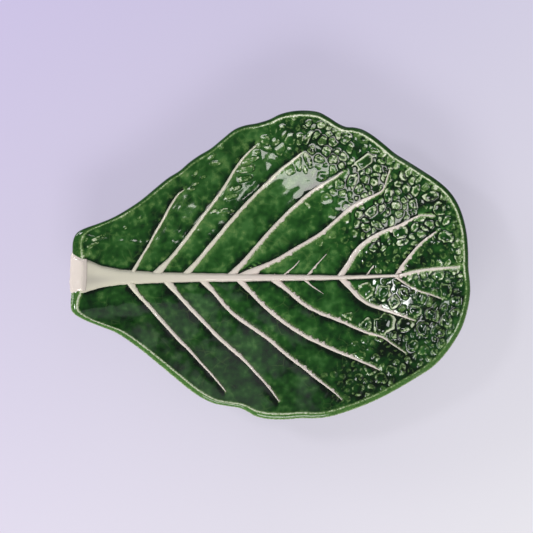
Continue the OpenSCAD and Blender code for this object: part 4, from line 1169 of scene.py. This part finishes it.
class LEAFPLATE_OT_stem(bpy.types.Operator):
    """Models the pale lip over the rim where the stem is cut"""

    bl_idname = "leafplate.stem"
    bl_label = "Cut stem end"

    def execute(self, context):
        low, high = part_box("stem_end")
        bm = ribbed_bmesh()
        rows, turns, tongue = 48, 14, 4
        bmesh.ops.create_grid(bm, x_segments=rows, y_segments=turns + tongue, size=0.5)
        along = np.array([vert.co.x for vert in bm.verts]) + 0.5
        step = np.array([round((vert.co.y + 0.5) * (turns + tongue)) for vert in bm.verts]) - tongue
        # The pad is as wide as the flat stem at its inner edge, and widens over the lip
        inward = 1 - np.clip(1.1 * step / turns, 0, 1)
        bottom = low.y + 0.1 * MM + 1.2 * MM * inward
        top = high.y - 0.1 * MM - 4.0 * MM * inward
        height = bottom + (top - bottom) * along
        crest = side_between(STEM_LOWER, STEM_UPPER, np.linspace(0, 1, CREST_SAMPLES))
        crest_x = np.interp(height, crest[:, 1], crest[:, 0])
        points = np.column_stack([crest_x, height])
        proud = PAD_HEIGHT * smooth_step(0, 0.1, np.minimum(along, 1 - along))
        spots = np.column_stack([0.6 * MM * step, height])
        proud += PAD_UNEVENNESS * soft_noise(spots, PAD_LENGTH, 3.3)
        places = np.zeros((len(points), 3))
        seats = np.zeros((len(points), 3))
        for turn in range(-tongue, turns + 1):
            row = step == turn
            if turn < 0:
                # A tongue under the end of the midrib
                plan = points[row] + [-TONGUE_STEP * turn, 0]
                places[row] = np.column_stack([plan, dish_z(plan) + TONGUE_HEIGHT])
                seats[row] = np.column_stack([plan, dish_z(plan) - SEAT_DEPTH])
                continue
            degrees = 100 * turn / turns
            rim = edge_point(points[row], min(degrees, 90))
            middle = edge_point(points[row], 0)
            middle[:, 2] -= LIP_DROP
            normal = rim - middle
            normal /= np.linalg.norm(normal, axis=1)[:, None]
            places[row] = rim + normal * (proud[row] + 0.05 * MM)[:, None]
            seats[row] = rim - normal * SEAT_DEPTH
            if degrees > 90:
                drop = 1.2 * MM * (degrees - 90) / 10
                places[row, 2] -= drop
                seats[row, 2] -= drop
        lap = 0.9 * (1 - smooth_step(0, 0.04, np.minimum(along, 1 - along)))
        none = np.zeros(len(points))
        close_sheet(bm, list(bm.verts), places, seats, lap, none, none)
        glaze = shared_material("cream_majolica_glaze", cream_glaze)
        finish_mesh(bm, "glazed_stem_end", ["stem_end"], glaze)
        return {"FINISHED"}


def add_lamp(name, place, size, power, colour):
    """A rectangular soft box that faces the dish"""
    data = bpy.data.lights.new(name, "AREA")
    data.shape = "RECTANGLE"
    data.size, data.size_y = size
    data.energy = power
    data.color = linear(colour)[:3]
    lamp = bpy.data.objects.new(name, data)
    lamp.location = place
    lamp.rotation_euler = (-Vector(place)).to_track_quat("-Z", "Y").to_euler()
    bpy.context.scene.collection.objects.link(lamp)


class LEAFPLATE_OT_studio(bpy.types.Operator):
    """Sets up the pale table, the soft boxes and the camera that looks straight down"""

    bl_idname = "leafplate.studio"
    bl_label = "Studio"

    def execute(self, context):
        studio = context.scene.leaf_plate_studio
        self.table()
        self.lamps(studio)
        self.camera(studio)
        context.scene.view_settings.view_transform = "Standard"
        return {"FINISHED"}

    @staticmethod
    def table():
        """A wide pale board, lavender to one side and greyer to the other, painted darker towards the
        far side as painted shadow and lighter towards the near side as painted light
        """
        bm = bmesh.new()
        bmesh.ops.create_grid(bm, x_segments=1, y_segments=1, size=BOARD_HALF_SIZE)
        mesh = bpy.data.meshes.new("table_top")
        bm.to_mesh(mesh)
        bm.free()
        table = bpy.data.objects.new("table_top", mesh)
        bpy.context.scene.collection.objects.link(table)
        material, tree, place = new_material("pale_painted_board")
        axes = add_node(tree, "SeparateXYZ", (place,))
        tones = []
        # Along Y the tone is painted darker towards the far side, painted shadow of the dish, and
        # lighter towards the near side, painted light
        for axis, stops in (
            ("X", [(0.0, "#D7CDF0"), (0.5, "#DAD6EA"), (1.0, "#F1F2F8")]),
            ("Y", [(0.0, "#EEEBF3"), (0.5, "#DBD6E8"), (1.0, "#D2C9EC")]),
        ):
            share = add_node(tree, "MapRange", (axes[axis], -BOARD_REACH, BOARD_REACH))[0]
            tones.append(add_node(tree, "ValToRGB", (share,), stops)[0])
        tone = add_node(tree, "Mix", {0: 0.6, 6: tones[0], 7: tones[1]}, data_type="RGBA")[2]
        board = add_node(tree, "BsdfPrincipled", {
            "Roughness": 0.9, "Specular IOR Level": 0.1, "Base Color": tone,
        })[0]
        # Three fifths of the board's tone comes of itself where the camera or a mirrored ray meets
        # it, which keeps the shadow faint
        rays = add_node(tree, "LightPath")
        seen = rays["Is Camera Ray"]
        for ray in ("Is Glossy Ray", "Is Transmission Ray"):
            seen = add_node(tree, "Math", (seen, rays[ray]), operation="ADD", use_clamp=True)[0]
        seen = add_node(tree, "Math", (seen, BOARD_GLOW), operation="MULTIPLY")[0]
        glow = add_node(tree, "Emission", {"Color": tone})[0]
        surface = add_node(tree, "MixShader", (seen, board, glow))[0]
        add_node(tree, "OutputMaterial", {"Surface": surface})
        mesh.materials.append(material)

    @staticmethod
    def lamps(studio):
        """Two soft boxes past the near side, whose mirror images lie on the far wall of the dish,
        and two boxes past the stem: a small one for the glints, and a low, wide one that draws
        bright arcs on the flanks of the puckers"""
        for name, place, size in (
            ("key_soft_box", (-0.12, -0.96, 0.865), (0.84, 0.39)),
            ("side_soft_box", (0.624, -0.926, 0.794), (0.096, 0.091)),
        ):
            add_lamp(name, place, size, studio.key_power * size[0] * size[1], "#FFFDF8")
        for name, place, size, power in (
            ("glint_box", (-0.81, 0.30, 1.10), (0.20, 0.20), studio.glint_power),
            ("low_window_box", (-1.22, 0.66, 0.62), (0.63, 0.31), studio.window_power),
        ):
            add_lamp(name, place, size, power, "#FFFFFF")
        world = bpy.data.worlds.new("studio_air")
        world.use_nodes = True
        tree = world.node_tree
        tree.nodes.clear()
        # Dim air, and a pale wall past the far side of the leaf, between two darker stretches. Its
        # mirror image greys the near panels by the stem.
        way = add_node(tree, "TexCoord")["Generated"]
        strength = PALE_WALL_LIGHT
        for normal, low, high in (
            ((-0.788, 0.616, 0.0), -0.02, 0.05), ((1.0, 0.0, 0.0), -0.06, 0.08),
            ((0.0, 0.0, 1.0), 0.16, 0.3), ((0.0, 0.0, -1.0), -0.985, -0.93),
        ):
            inside = add_node(tree, "VectorMath", (way, normal), operation="DOT_PRODUCT")["Value"]
            inside = add_node(
                tree, "MapRange", (inside, low, high), interpolation_type="SMOOTHSTEP"
            )[0]
            strength = add_node(tree, "Math", (inside, strength), operation="MULTIPLY")[0]
        strength = add_node(tree, "Math", (strength, AIR_LIGHT), operation="ADD")[0]
        air = add_node(tree, "Background", {"Color": (0.96, 0.95, 1.0, 1), "Strength": strength})[0]
        add_node(tree, "OutputWorld", {"Surface": air})
        bpy.context.scene.world = world

    @staticmethod
    def camera(studio):
        """Straight above the photograph's middle, framing the same stretch of table"""
        data = bpy.data.cameras.new("overhead_camera")
        camera = bpy.data.objects.new("overhead_camera", data)
        bpy.context.scene.collection.objects.link(camera)
        middle = from_photo([(PHOTO_SIZE / 2, PHOTO_SIZE / 2)])[0]
        camera.location = (middle[0], middle[1], studio.camera_height)
        width = PHOTO_SIZE * PIXEL
        data.lens = data.sensor_width * (studio.camera_height - RIM_HEIGHT) / width
        bpy.context.scene.camera = camera


class LEAFPLATE_PT_panel(bpy.types.Panel):
    """Lists the plate's pieces and settings"""

    bl_idname = "LEAFPLATE_PT_panel"
    bl_label = "Cabbage leaf plate"
    bl_space_type = "VIEW_3D"
    bl_region_type = "UI"
    bl_category = "Leaf plate"

    def draw(self, context):
        for group in ("leaf_plate_sizes", "leaf_plate_glazes", "leaf_plate_studio"):
            settings = getattr(context.scene, group)
            for key in settings.__annotations__:
                self.layout.prop(settings, key)
        for operator in OPERATORS:
            self.layout.operator(operator.bl_idname)


OPERATORS = [
    LEAFPLATE_OT_blade, LEAFPLATE_OT_foot, LEAFPLATE_OT_ribs, LEAFPLATE_OT_stem,
    LEAFPLATE_OT_studio,
]
CLASSES = [LeafPlateSizes, LeafPlateGlazes, LeafPlateStudio, *OPERATORS, LEAFPLATE_PT_panel]


def register():
    for cls in CLASSES:
        bpy.utils.register_class(cls)
    bpy.types.Scene.leaf_plate_sizes = bpy.props.PointerProperty(type=LeafPlateSizes)
    bpy.types.Scene.leaf_plate_glazes = bpy.props.PointerProperty(type=LeafPlateGlazes)
    bpy.types.Scene.leaf_plate_studio = bpy.props.PointerProperty(type=LeafPlateStudio)


def unregister():
    del bpy.types.Scene.leaf_plate_studio
    del bpy.types.Scene.leaf_plate_glazes
    del bpy.types.Scene.leaf_plate_sizes
    for cls in reversed(CLASSES):
        bpy.utils.unregister_class(cls)


def main():
    register()
    bpy.ops.leafplate.blade()
    bpy.ops.leafplate.foot()
    bpy.ops.leafplate.ribs()
    bpy.ops.leafplate.stem()
    bpy.ops.leafplate.studio()


if __name__ == "__main__":
    main()
